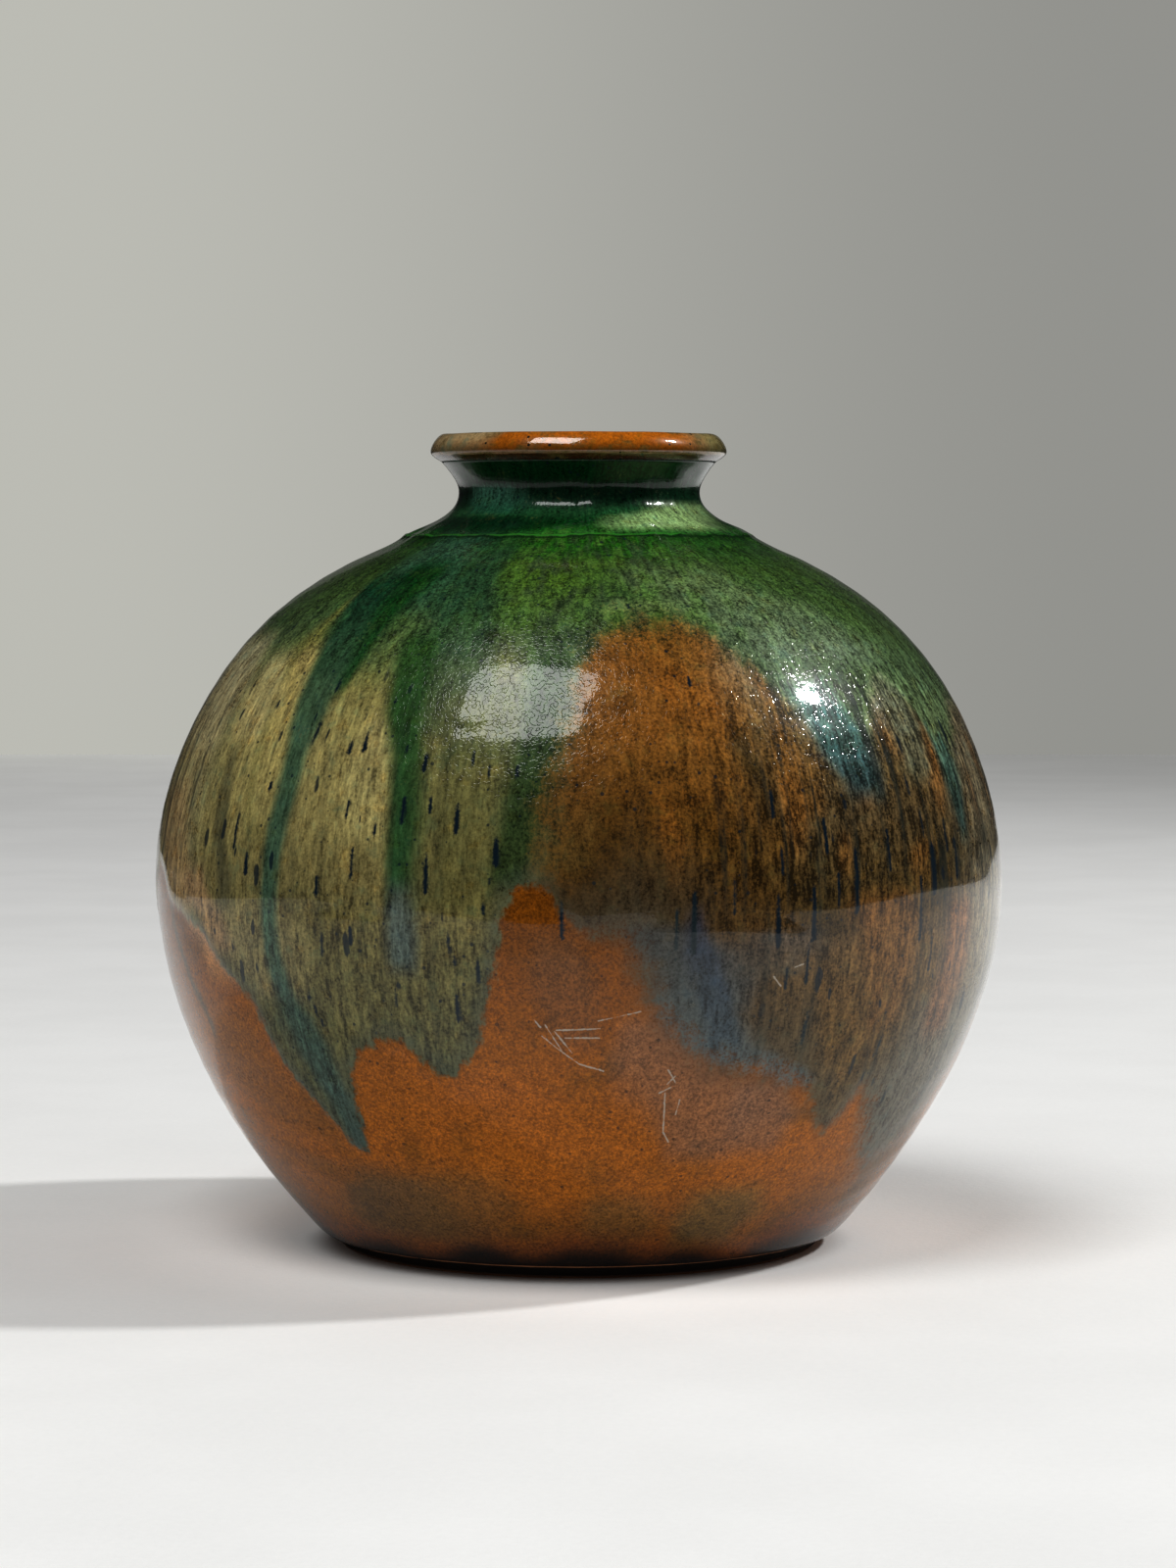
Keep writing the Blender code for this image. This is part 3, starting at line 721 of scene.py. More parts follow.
def covered(streak, high, turn):
    """How much a streak covers each point, and how far down the streak the point lies."""
    course = np.array(streak.course[::-1])
    middle = np.interp(high, course[:, 0], course[:, 1])
    half = np.interp(high, course[:, 0], course[:, 2])
    across = np.abs(turn - middle) / half
    low, top = course[0, 0], course[-1, 0]
    ends = smooth(low - streak.fade, low, high) * smooth(top + streak.fade, top, high)
    return smooth(1.5, 0.5, across) * ends * streak.strength, np.clip((top - high) / (top - low), 0, 1)


def paint(canvas, streaks, high, turn):
    """Lay streaks over a field of colours."""
    for streak in streaks:
        cover, down = covered(streak, high, turn)
        top = linear(streak.top)
        lay(canvas, top + (linear(streak.bottom) - top) * down[..., None], cover)


def seen_from_front(turn, sway):
    """Angles of the front pattern. The back repeats it mirrored and swayed, so that no streaks are alike."""
    front = np.where(turn > 180, turn - 360, turn)
    back = 180 - turn
    return np.where(np.abs(front) > 90, back + sway * smooth(90, 60, np.abs(back)), front)


def rounded(line):
    """The line with points added in its wide gaps, so that its tongues and the bays between are round."""
    points = []
    for start, end in zip(line[:-1], line[1:]):
        steps = max(1, round((end[0] - start[0]) / ROUND_STEP))
        share = np.arange(steps) / steps
        angles = start[0] + (end[0] - start[0]) * share
        points += zip(angles, start[1] + (end[1] - start[1]) * smooth(0, 1, share))
    return points + [line[-1]]


def edge_distance(line, high, turn):
    """Distance in millimetres above a line of (angle, height) points, negative below it."""
    angles, heights = np.array(rounded(line)).T
    angles = np.concatenate((angles[-1:] - 360, angles, angles[:1] + 360))
    heights = np.concatenate((heights[-1:], heights, heights[:1]))
    points = np.stack((angles, heights), 1)
    wrapped = np.where(turn > line[-1][0], turn - 360, turn)
    nearest = np.full(high.shape, np.inf)
    for start, end in zip(points[:-1], points[1:]):
        step = (end - start) * (MM_PER_DEGREE, 1)
        across = (wrapped - start[0]) * MM_PER_DEGREE
        up = high - start[1]
        along = np.clip((across * step[0] + up * step[1]) / (step @ step), 0, 1)
        nearest = np.minimum(nearest, np.hypot(across - along * step[0], up - along * step[1]))
    return np.where(high > np.interp(wrapped, angles, heights), nearest, -nearest)


def speck_distance(specks, outline, angles):
    """Distance in millimetres from the nearest dark dash, negative inside it and 9 at most."""
    high = outline[:, 1] * 1000
    length = arc_lengths(outline) * 1000
    nearest = np.full((len(outline), len(angles)), 9.0)
    for speck in specks:
        snapped = angles[np.argmin(np.abs((angles - speck.angle + 180) % 360 - 180))]
        scale = np.interp(speck.height, high, outline[:, 0]) * 1000 * math.radians(1)
        up = (length - np.interp(speck.height, high, length))[:, None]
        across = ((angles - snapped + 180) % 360 - 180)[None] * scale + up * speck.lean
        beyond = np.maximum(np.abs(up) - speck.long, 0)
        taper = speck.wide * (0.55 + 0.45 * np.clip(1 - up / speck.long, 0, 2) / 2)
        nearest = np.minimum(nearest, np.hypot(across, beyond) - taper)
    return nearest


def seam_distance(outline):
    """Distance in millimetres along the outline above the lap where the neck joins the globe."""
    lengths = arc_lengths(outline)
    shoulder = on_shoulder(outline)
    lap = np.interp(-LAP_RADIUS, -outline[shoulder, 0], lengths[shoulder])
    return (lengths - lap) * 1000


def back_specks():
    """More dashes for the back, strewn over the zones that carry them."""
    dice = random.Random(BACK_SPECK_SEED)
    rows = [[dice.uniform(*limits) for limits in BACK_SPECK_LIMITS] for _ in range(BACK_SPECKS)]
    return tuple(Speck(*row) for row in rows)


def skin_fields(outline, angles):
    """All the painted fields of the skin, on its grid."""
    turn = np.broadcast_to(angles[None], (len(outline), len(angles)))
    high = np.broadcast_to(outline[:, 1, None] * 1000, turn.shape)
    flow = turned((np.full(len(outline), FLOW_RADIUS), arc_lengths(outline)), angles)
    wander = grain(flow, 0.006, 5, 3) * 0.55 + grain(flow, 0.030, 3, 11) * 0.4
    drift = grain(flow, 0.022, 1.5, 23)
    shown = seen_from_front(turn, BACK_SWAY * grain(flow, 0.060, 2, 31))
    side = shown + wander * (BELLY_RADIUS / outline[:, 0, None])
    level = high + drift * LEVEL_DRIFT * smooth(180, 170, high)

    # Green glaze of neck and shoulder, which turns tan at the left and clouded on the shoulder
    green = graded(level, GREEN_BY_HEIGHT)
    tan_cover = smooth(*TAN_TOP, level) * smooth(*TAN_LEFT, side) * smooth(*TAN_RIGHT, side)
    lay(green, graded(level, TAN_BY_HEIGHT), tan_cover)
    edge_cover = smooth(*EDGE_TOP, level) * smooth(*EDGE_RIGHT, side)
    lay(green, linear(EDGE_TAN), edge_cover)
    paint(green, GREEN_STREAKS, high, side)
    crinkled = smooth(*CRINKLE_FOOT, high) * smooth(*CRINKLE_TOP, high)
    patch = grain(flow, 0.007, 1.4, 83) + 0.7 * grain(flow, 0.003, 1.4, 97)
    clouded = crinkled * (0.25 + 0.75 * smooth(*CLOUD_LEFT, side)) * (1 - 0.65 * smooth(*CLOUD_RIGHT, side))
    lay(green, linear(BRIGHT_MOSS), 0.60 * clouded * smooth(0.1, 0.9, patch))
    lay(green, linear(MURK), 0.60 * clouded * smooth(-0.1, -0.9, patch))

    # Rust and brown glaze of the right half, and the pale line that follows its upper edge
    rust = graded(level, DOME_BY_HEIGHT)
    brown_cover = smooth(*BROWN_LEFT, side)
    lay(rust, graded(level, BROWN_BY_HEIGHT), brown_cover)
    lay(rust, linear(GREY_BROWN), smooth(*GREY_LEFT, side) * 0.75)
    rusty = smooth(0.1, 0.9, grain(flow, 0.009, 2.5, 109)) * smooth(*RUSTY_FOOT, high)
    lay(rust, linear(RUST), 0.4 * rusty)
    paint(rust, RUST_STREAKS, high, side)
    rust_angles, rust_heights = np.array(RUST_EDGE).T
    over = high - np.interp(side, rust_angles, rust_heights) - drift * RUST_DRIFT
    inset = 4 * smooth(118, 144, high)
    rust_cover = smooth(*RUST_ABOVE, over) * smooth(*RUST_LEFT, side - inset)
    arc = hump(over, ARC_RISE, ARC_HALF_WIDTH) * smooth(*ARC_LEFT, side) * smooth(*ARC_RIGHT, side)
    lay(green, linear(ARC_GREEN), 0.5 * arc)

    # Honey glaze of the lower part
    honey = graded(high + drift * HONEY_DRIFT, HONEY_BY_HEIGHT)
    paint(honey, HONEY_STREAKS, high, side)

    # How far the glaze is drawn into fibres and threads, grainy, soft at its edge and rippled
    belly = smooth(*BELLY_TOP, high)
    low = smooth(*LOW_TOP, high)
    right = smooth(6, 40, side + 9 * smooth(132, 114, high))
    left = np.maximum((0.50 + 0.35 * low) * tan_cover, 0.8 * edge_cover)
    fibrous = 0.10 + belly * np.maximum(left, (1.40 - 0.65 * low) * right)
    left = np.maximum(0.30 * tan_cover, 0.8 * edge_cover)
    stringy = belly * np.maximum(left, (1 - 0.5 * low) * right)
    left = np.maximum((0.65 - 0.45 * low) * tan_cover, 0.6 * edge_cover)
    grainy = 1.35 - belly * left + 0.1 * crinkled
    grainy += 0.5 * right * belly * (1 - low) - 0.2 * rust_cover * (1 - right)
    soft_edge = 1.3 + 6 * smooth(-2, 8, side) - 4.5 * smooth(30, 36, side) + 5 * smooth(43, 50, side)
    rippled = (0.3 + 0.7 * smooth(186, 180, high)) * (0.15 + 0.85 * smooth(104, 128, high))
    return {"flow": flow, "green_tint": green, "rust_tint": rust, "rust_cover": rust_cover,
            "honey_tint": honey, "dashed": belly * np.maximum(tan_cover, brown_cover),
            "fibrous": fibrous, "stringy": stringy, "grainy": grainy, "crinkled": crinkled,
            "rippled": rippled,
            "run_edge": edge_distance(RUN_EDGE, high, turn + wander * 0.5), "soft_edge": soft_edge,
            "seam": np.broadcast_to(seam_distance(outline)[:, None], turn.shape),
            "speck": speck_distance(SPECKS + back_specks(), outline, angles)}


# Materials

class Value:
    """An output of a node, with which sums are written as with a number."""

    def __init__(self, graph, socket):
        self.graph = graph
        self.socket = socket

    def __add__(self, other):
        return self.graph.math("ADD", self, other)

    def __sub__(self, other):
        return self.graph.math("SUBTRACT", self, other)

    def __rsub__(self, other):
        return self.graph.math("SUBTRACT", other, self)

    def __mul__(self, other):
        return self.graph.math("MULTIPLY", self, other)

    def __truediv__(self, other):
        return self.graph.math("DIVIDE", self, other)

    def __abs__(self):
        return self.graph.node("Math", {0: self}, operation="ABSOLUTE")

    __radd__ = __add__
    __rmul__ = __mul__


class Graph:
    """The nodes of one material, built up from its textures to its shader."""

    def __init__(self, name):
        self.material = bpy.data.materials.new(name)
        self.material.use_nodes = True
        self.tree = self.material.node_tree
        self.shader = self.tree.nodes["Principled BSDF"]

    def feed(self, socket, value):
        """Link a socket to another node's output, or set it."""
        if isinstance(value, Value):
            self.tree.links.new(value.socket, socket)
        elif socket.type == "RGBA":
            socket.default_value = (*linear(value), 1)
        else:
            socket.default_value = value

    def node(self, kind, inputs, output=0, **settings):
        """Add a node with its settings and inputs, and give one of its outputs."""
        item = self.tree.nodes.new("ShaderNode" + kind)
        for name, value in settings.items():
            setattr(item, name, value)
        for key, value in inputs.items():
            self.feed(item.inputs[key], value)
        return Value(self, item.outputs[output])

    def field(self, name, vector=False):
        return self.node("Attribute", {}, "Vector" if vector else "Fac", attribute_name=name)

    def place(self):
        return self.node("TexCoord", {}, "Object")

    def axis(self, vector, number):
        return self.node("SeparateXYZ", {0: vector}, number)

    def length(self, vector):
        return self.node("VectorMath", {0: vector}, "Value", operation="LENGTH")

    def math(self, operation, first, second):
        return self.node("Math", {0: first, 1: second}, operation=operation)

    def larger(self, first, second):
        return self.math("MAXIMUM", first, second)

    def weighted(self, *pairs):
        """A sum of values, each taken about its middle of 0.5 and times its weight."""
        total = None
        for value, weight in pairs:
            part = self.node("Math", {0: value, 1: weight, 2: -0.5 * weight}, operation="MULTIPLY_ADD")
            total = part if total is None else total + part
        return total

    def fade(self, value, start, end):
        """A soft step from 0 at start to 1 at end."""
        return self.node("MapRange", {0: value, 1: start, 2: end}, interpolation_type="SMOOTHSTEP")

    def blend(self, factor, first, second, mode="MIX"):
        return self.node("Mix", {0: factor, 6: first, 7: second}, 2, data_type="RGBA", blend_type=mode)

    def tinted(self, factor, colour, tint):
        """The colour multiplied by a tint, as far as a factor says."""
        return self.blend(factor, colour, tint, "MULTIPLY")

    def mirrored(self, colour, gain):
        """The colour, times a gain in mirror images."""
        seen = self.node("LightPath", {}, "Is Glossy Ray")
        return self.blend(seen, colour, self.brightened(colour, gain))

    def stretched(self, vector, factors):
        return self.node("VectorMath", {0: vector, 1: factors}, operation="MULTIPLY")

    def brightened(self, colour, factor):
        return self.node("VectorMath", {0: colour, "Scale": factor}, operation="SCALE")

    def noise(self, vector, scale, detail=2.0, roughness=0.5, output=0):
        inputs = {"Vector": vector, "Scale": scale, "Detail": detail, "Roughness": roughness}
        return self.node("TexNoise", inputs, output)

    def spots(self, vector, scale, largest, power):
        """Dots of random size, one for each cell of a pattern: 1 inside them."""
        middle = self.node("TexVoronoi", {"Vector": vector, "Scale": scale}, "Distance")
        chance = self.node("SeparateColor", {0: Value(self, middle.socket.node.outputs["Color"])})
        size = self.math("POWER", chance, power) * largest
        return self.fade(middle - size, SPOT_EDGE, -SPOT_EDGE)

    def finish(self, colour, roughness, height):
        """Feed the shader's colour, roughness and bump, whose height is in metres."""
        self.feed(self.shader.inputs["Base Color"], colour)
        self.feed(self.shader.inputs["Roughness"], roughness)
        bump = self.node("Bump", {"Strength": 1.0, "Distance": 1.0, "Height": height})
        self.feed(self.shader.inputs["Normal"], bump)
        return bump

    def glossy(self, bump, index=COAT_INDEX):
        """A clear glassy top layer over the colour, with its index of refraction."""
        self.shader.inputs["Coat Weight"].default_value = 1.0
        self.shader.inputs["Coat Roughness"].default_value = COAT_ROUGHNESS
        self.shader.inputs["Coat IOR"].default_value = index
        self.shader.inputs["Specular IOR Level"].default_value = UNDER_COAT_SPECULAR
        self.feed(self.shader.inputs["Coat Normal"], bump)


def ripples(graph, place):
    """The uneven surface of fired glaze, in metres: slow wobbles, small ripples, fine grain and creases."""
    wobble = graph.noise(place, 120, 1)
    ripple = graph.noise(place, 420, 2)
    fine = graph.noise(place, 1500, 1, 0.6)
    crease = abs(graph.weighted((graph.noise(place, 640, 1), 1.0)))
    height = graph.weighted((wobble, 0.00006), (ripple, 0.00003), (fine, 0.000006))
    return height - graph.fade(crease, 0.06, 0.0) * 0.000022


def scratch_distance(graph, flow, outline):
    """Distance in metres from the nearest pale scratch, a short straight line in the flow coordinates."""
    lengths = arc_lengths(outline)
    nearest = None
    for ends in SCRATCHES:
        points = []
        for height, angle in ends:
            turn = math.radians(angle)
            along = np.interp(height / 1000, outline[:, 1], lengths)
            points.append(Vector((FLOW_RADIUS * math.sin(turn), -FLOW_RADIUS * math.cos(turn), along)))
        span = points[1] - points[0]
        offset = graph.node("VectorMath", {0: flow, 1: points[0]}, operation="SUBTRACT")
        inputs = {0: offset, 1: span / span.length_squared}
        share = graph.node("Clamp", {0: graph.node("VectorMath", inputs, "Value", operation="DOT_PRODUCT")})
        foot = graph.brightened(tuple(span), share)
        gap = graph.node("VectorMath", {0: offset, 1: foot}, "Value", operation="DISTANCE")
        nearest = gap if nearest is None else graph.math("MINIMUM", nearest, gap)
    return nearest


def skin_material(outline):
    """Green, tan and rust run glaze over honey glaze, with fibres, dark dashes, pinholes and scratches."""
    graph = Graph("run_and_honey_glaze")
    place = graph.place()
    flow = graph.field("flow", True)
    fibre = graph.noise(graph.stretched(flow, (1, 1, 0.15)), 560, 3, 0.62)
    hair = graph.noise(graph.stretched(flow, (1, 1, 0.24)), 1350, 2, 0.65)
    vein = graph.noise(graph.stretched(flow, (1, 1, 0.40)), 480, 3, 0.6)
    mottle = graph.noise(place, 230, 4, 0.62)
    speckle = graph.noise(place, 1400, 2, 0.72)

    # The run glaze: its two parts, tints, grain, creases, and the painted highlight and painted shade of the
    # seam under the neck
    cover = graph.field("rust_cover") + graph.weighted((mottle, 1.2), (speckle, 0.9))
    green = graph.field("green_tint", True)
    run = graph.blend(graph.fade(cover, 0.10, 0.90), green, graph.field("rust_tint", True))
    run = graph.tinted(graph.fade(mottle, 0.52, 0.72), run, COOL_TINT)
    run = graph.tinted(graph.fade(mottle, 0.46, 0.28), run, WARM_TINT)
    drawn = graph.weighted((fibre, 2.4), (hair, 2.6)) * graph.field("fibrous")
    grains = graph.weighted((speckle, 2.3), (vein, 1.7), (mottle, 1.0)) * graph.field("grainy")
    light = graph.larger(1.06 + grains + drawn, 0.3)
    run = graph.brightened(run, light)
    crease = abs(graph.weighted((graph.noise(place, 240, 3, 0.65), 1.0)))
    crease = graph.fade(crease, 0.035, 0.0) * graph.field("crinkled")
    run = graph.blend(crease * 0.65, run, CREASE)
    # Painted highlight on the upper side of the seam ridge and painted shade under it
    seam = graph.field("seam") + graph.weighted((graph.noise(place, 150, 3, 0.6), 1.8))
    broken = graph.fade(graph.noise(place, 95, 2), 0.30, 0.50)
    lit = graph.fade(abs(seam - 0.3), 0.6, 0.2) * broken
    run = graph.blend(lit * 0.8, run, SEAM_PAINTED_HIGHLIGHT)
    shaded = graph.fade(abs(seam + 0.6), 0.6, 0.1)
    run = graph.blend(shaded * 0.75, run, SEAM_PAINTED_SHADE)

    # Dark threads, dashes, dots and the marks placed one by one
    threads = graph.noise(graph.stretched(flow, (1, 1, 0.05)), 300, 2, 0.6)
    threads = graph.fade(threads, 0.50, 0.66) * (graph.field("stringy") * 0.75)
    run = graph.blend(threads, run, THREAD)
    bend = graph.brightened(graph.noise(place, 300, output="Color"), 0.0012)
    warped = graph.node("VectorMath", {0: graph.stretched(flow, (1, 1, 0.30)), 1: bend}, operation="ADD")
    dashes = graph.spots(warped, 240, 0.23, 1.5) * (graph.field("dashed") * 0.85)
    dots = graph.spots(place, 520, 0.26, 5.0) * 0.75
    marks = graph.field("speck") + graph.weighted((speckle, 0.9), (fibre, 1.2))
    dark = graph.larger(graph.larger(dashes, dots), graph.fade(marks, 0.50, -0.25))
    run = graph.blend(dark, run, INK)

    # The ragged edge of the run, with a slate fringe
    ragged = graph.weighted((graph.noise(place, 330, 3, 0.6), 5.0), (fibre, 3.0))
    edge = (graph.field("run_edge") + ragged) / graph.field("soft_edge")
    edge = edge + graph.weighted((speckle, 2.4), (mottle, 1.6))
    fringe = graph.fade(edge, 5.0, 0.3) * 0.30
    run = graph.blend(fringe * light, run, SLATE)

    # The honey glaze under it
    honey = graph.field("honey_tint", True)
    honey = graph.tinted(graph.fade(graph.noise(place, 55, 4, 0.6), 0.48, 0.74), honey, HONEY_SHADE)
    blotch = graph.noise(place, 420, 3, 0.65)
    shimmer = 1.0 + graph.weighted((mottle, 0.5), (blotch, 1.0), (speckle, 2.7))
    honey = graph.brightened(honey, graph.larger(shimmer, 0.6))
    honey = graph.blend(dots * 0.8, honey, PINHOLE)
    honey = graph.blend(graph.fade(marks, 0.35, -0.35), honey, INK)

    # Both together, scratched and rippled
    colour = graph.blend(graph.fade(edge, -0.7, 0.8), honey, run)
    worn = scratch_distance(graph, flow, outline) + graph.weighted((speckle, 0.0006), (mottle, 0.0006))
    worn = graph.fade(worn, SCRATCH_HALF_WIDTH * 1.4, SCRATCH_HALF_WIDTH * 0.4)
    colour = graph.blend(worn * 0.8, colour, SCRATCH)
    roughness = 0.30 + graph.weighted((mottle, 0.18), (speckle, 0.10))
    graph.glossy(graph.finish(colour, roughness, ripples(graph, place) * graph.field("rippled")))
    return graph.material


def rim_material():
    """Honey-orange glaze that goes olive in places, with a few dark specks."""
    graph = Graph("rim_honey_glaze")
    place = graph.place()
    mottle = graph.noise(place, 260, 4, 0.6)
    speckle = graph.noise(place, 1400, 2, 0.7)
    stain_and_painted_shade = graph.noise(graph.stretched(place, (1, 1, 1.6)), 150, 4, 0.68)
    tint = graph.tinted(graph.fade(mottle, 0.50, 0.72), graph.field("rim_tint", True), RIM_SHADE)
    tint = graph.blend(graph.fade(stain_and_painted_shade, 0.50, 0.66) * 0.7, tint, RIM_STAIN)
    tint = graph.brightened(tint, 1.0 + graph.weighted((speckle, 1.4), (mottle, 0.8)))
    dark = graph.larger(graph.spots(place, 210, 0.24, 4.0), graph.spots(place, 560, 0.26, 3.5))
    colour = graph.blend(dark, tint, RIM_SPECK)
    bump = graph.finish(colour, 0.28 + graph.weighted((mottle, 0.16)), ripples(graph, place) * 0.2)
    graph.glossy(bump, RIM_COAT_INDEX)
    return graph.material


def lining_material():
    """Thin brown glaze of the inside, streaked with green that ran in from the rim."""
    graph = Graph("lining_glaze")
    place = graph.place()
    mottle = graph.noise(place, 90, 4, 0.6)
    speckle = graph.noise(place, 1100, 2, 0.7)
    runs = graph.noise(graph.stretched(place, (1, 1, 0.15)), 110, 3, 0.6)
    green = graph.fade(runs, 0.46, 0.60) * graph.fade(graph.axis(place, 2), 0.110, 0.190)
    tint = graph.blend(graph.fade(mottle, 0.42, 0.72), LINING, DARK_LINING)
    tint = graph.blend(green, tint, LINING_RUNS)
    tint = graph.brightened(tint, 1.0 + graph.weighted((speckle, 0.5), (runs, 0.4)))
    colour = graph.blend(graph.spots(place, 330, 0.24, 5.0), tint, PINHOLE)
    graph.glossy(graph.finish(colour, 0.30 + graph.weighted((mottle, 0.2)), ripples(graph, place)))
    return graph.material


def clay_material(name, tint, dark):
    """Bare fired clay: cloudy, gritty and matt, with fine turning lines."""
    graph = Graph(name)
    place = graph.place()
    cloud = graph.noise(place, 70, 4, 0.6)
    grit = graph.noise(place, 1700, 3, 0.7)
    reach = graph.length(graph.stretched(place, (1, 1, 0)))
    lines = graph.noise(graph.node("CombineXYZ", {0: reach, 2: graph.axis(place, 2)}), 900, 2, 0.6)
    tint = graph.blend(graph.fade(cloud, 0.38, 0.68), tint, dark)
    tint = graph.brightened(tint, 1.0 + graph.weighted((grit, 0.6), (lines, 0.25)))
    colour = graph.blend(graph.spots(place, 480, 0.28, 4.0), tint, GRIT)
    # Painted shade where the field is set: the foot ring's outer face
    colour = graph.blend(graph.field("stain_and_painted_shade"), colour, FOOT_PAINTED_SHADE)
    height = graph.weighted((grit, 0.00005), (lines, 0.00004))
    graph.finish(colour, 0.82 + graph.weighted((cloud, 0.16)), height)
    return graph.material


# Pieces

def skin_relief(outline, fields):
    """Height of the glaze over its outline: seam, raised run, throwing rings, lumps, rounded foot edge."""
    flow = fields["flow"]
    run_edge = fields["run_edge"] / fields["soft_edge"]
    length = arc_lengths(outline)[:, None]
    shoulder = on_shoulder(outline)
    seam = hump(outline[:, 0], SEAM_RADIUS, SEAM_SPREAD) * shoulder
    lap = hump(outline[:, 0], LAP_RADIUS, LAP_SPREAD) * shoulder
    relief = SEAM_RIDGE * seam[:, None] * (0.9 + 0.3 * grain(flow, 0.012, 1, 41))
    relief += LAP_RIDGE * lap[:, None] * (0.8 + 0.8 * grain(flow, 0.006, 1, 47))
    relief += RUN_RELIEF * smooth(-0.6, 1.6, run_edge) * smooth(40, 8, run_edge)
    relief += RUN_BEAD * hump(run_edge, 1.6, 1.4)
    rings = np.sin(2 * math.pi * length / RING_SPACING + 2.5 * grain(flow, 0.045, 1, 53))
    relief += RING_RELIEF * rings * (0.6 + 0.4 * grain(flow, 0.050, 1, 61))
    relief += LUMP_RELIEF * grain(flow, LUMP_SIZE, 1, 71)
    relief -= EDGE_ROUNDING * np.exp(-length / EDGE_ROUNDED)
    return relief * smooth(RIM_SEAT, RIM_SEAT - LIP_FADE, outline[:, 1])[:, None]


def inner_rows():
    """Rows that the hidden side of the skin keeps, from the lip down: few on the globe, more in the neck."""
    globe = np.arange(0, GLOBE_ROWS, GLOBE_STRIDE)
    neck = np.arange(GLOBE_ROWS, SKIN_ROWS - 1, NECK_STRIDE)
    return np.concatenate((globe, neck, [SKIN_ROWS - 1]))[::-1]


def build_skin():
    """The outer glaze from the foot edge to the lip: the run glaze and the honey glaze under its edge."""
    outline = skin_outline()
    angles = skin_angles()
    fields = skin_fields(outline, angles)
    behind = inner_rows()
    section = shell(outline, skin_relief(outline, fields), (outline - outward(outline) * GLAZE)[behind])
    piece = closed_piece("glaze_skin", turned(section, angles), skin_material(outline), "run_glaze",
                         "run_glaze_coat", "honey_glaze_coat")
    for name, values in fields.items():
        add_field(piece, name, np.concatenate((values, values[behind])))


def build_rim():
    """The glaze over the rim roll, slightly uneven round it."""
    outline = resampled(rim_outline(), RIM_ROWS)
    angles = even_angles(PLAIN_COLUMNS)
    flow = turned((np.full(RIM_ROWS, LIP_RADIUS), arc_lengths(outline)), angles)
    relief = RIM_RELIEF * grain(flow, 0.014, 0.6, 5) * np.sin(np.linspace(0, math.pi, RIM_ROWS))[:, None]
    section = shell(outline, relief, (outline - outward(outline) * GLAZE)[::-1])
    piece = closed_piece("rim_glaze_skin", turned(section, angles), rim_material(), "rim_glaze", "rim_glaze")
    tint = rim_tint(outline, angles, flow)
    add_field(piece, "rim_tint", np.concatenate((tint, tint[::-1])))


def rim_tint(outline, angles, flow):
    """Colours of the rim: orange in front, olive at the sides, painted shade downwards, a painted highlight
    on the lower edge.
    """
    turn = (angles + 180) % 360 - 180 + 12 * grain(flow, 0.010, 1, 13)
    tint = graded(turn, RIM_BY_ANGLE)
    outside = np.arange(RIM_ROWS) < np.argmax(outline[:, 1])
    rise = np.where(outside, outline[:, 1] - RIM_SEAT, RIM_HEIGHT)[:, None]
    rise = rise + 0.0001 * grain(flow, 0.004, 1, 17)
    # Painted shade that darkens the bead downwards, a painted highlight along its lower edge, painted shade
    # under it
    tint *= (0.42 + 0.70 * smooth(0.0018, 0.0056, rise))[..., None]
    lay(tint, linear(RIM_EDGE_PAINTED_HIGHLIGHT), 0.75 * smooth(0.0005, 0.0002, np.abs(rise - BEAD_UNDERCUT - 0.0002)))
    lay(tint, linear(RIM_UNDER_PAINTED_SHADE), smooth(BEAD_UNDERCUT, BEAD_UNDERCUT - 0.0003, rise))
    return tint


def build_lining():
    """The glaze of the inside, from the rim's inner edge to the middle of the floor."""
    inside = resampled(lining_outline(), LINING_ROWS)
    behind = inside - outward(inside) * GLAZE
    behind[-1, 0] = 0
    section = np.vstack((inside, behind[::-1]))
    piece = closed_piece("lining_skin", turned(section.T, even_angles(PLAIN_COLUMNS)), lining_material(),
                         "lining_glaze", "inner_glaze_lining")
    merge_points(piece)


def build_foot(clay):
    """The foot ring, with eased edges and painted shade on its outer face."""
    inner = FOOT_OUTER - FOOT_WIDTH
    ease = FOOT_EASE
    cut = ease * FOOT_EASE_SHARE
    corners = ((inner, ease), (inner + cut, cut), (inner + ease, 0), (FOOT_OUTER - ease, 0),
               (FOOT_OUTER - cut, cut), (FOOT_OUTER, ease), (FOOT_OUTER, FOOT_TOP), (inner, FOOT_TOP),
               (inner, ease))
    section = resampled(np.array(corners), RIM_ROWS)[:-1]
    grid = turned(section.T, even_angles(PLAIN_COLUMNS))
    piece = closed_piece("foot_ring_turned", grid, clay, "clay", "foot_ring")
    # Painted shade on the outer face of the foot ring
    stain_and_painted_shade = smooth(inner, FOOT_OUTER - ease, section[:, 0]) * smooth(0, ease, section[:, 1])
    add_field(piece, "stain_and_painted_shade", np.repeat(stain_and_painted_shade[:, None], PLAIN_COLUMNS, 1))


def dress_solids(clay, slip):
    """Finishes of the solids that stay as they are."""
    for names, material in ((("body_globe", "neck_collar", "rim_roll"), clay),
                            (("neck_luting_slip", "rim_luting_slip", "foot_luting_slip"), slip)):
        for name in names:
            mesh = bpy.data.objects[name].data
            mesh.materials.clear()
            mesh.materials.append(material)


# Studio

def around(azimuth, elevation, distance):
    """A place in a direction seen from the vase's axis on the table."""
    turn = math.radians(azimuth)
    lift = math.radians(elevation)
    level = math.cos(lift)
    return Vector((math.sin(turn) * level, -math.cos(turn) * level, math.sin(lift))) * distance


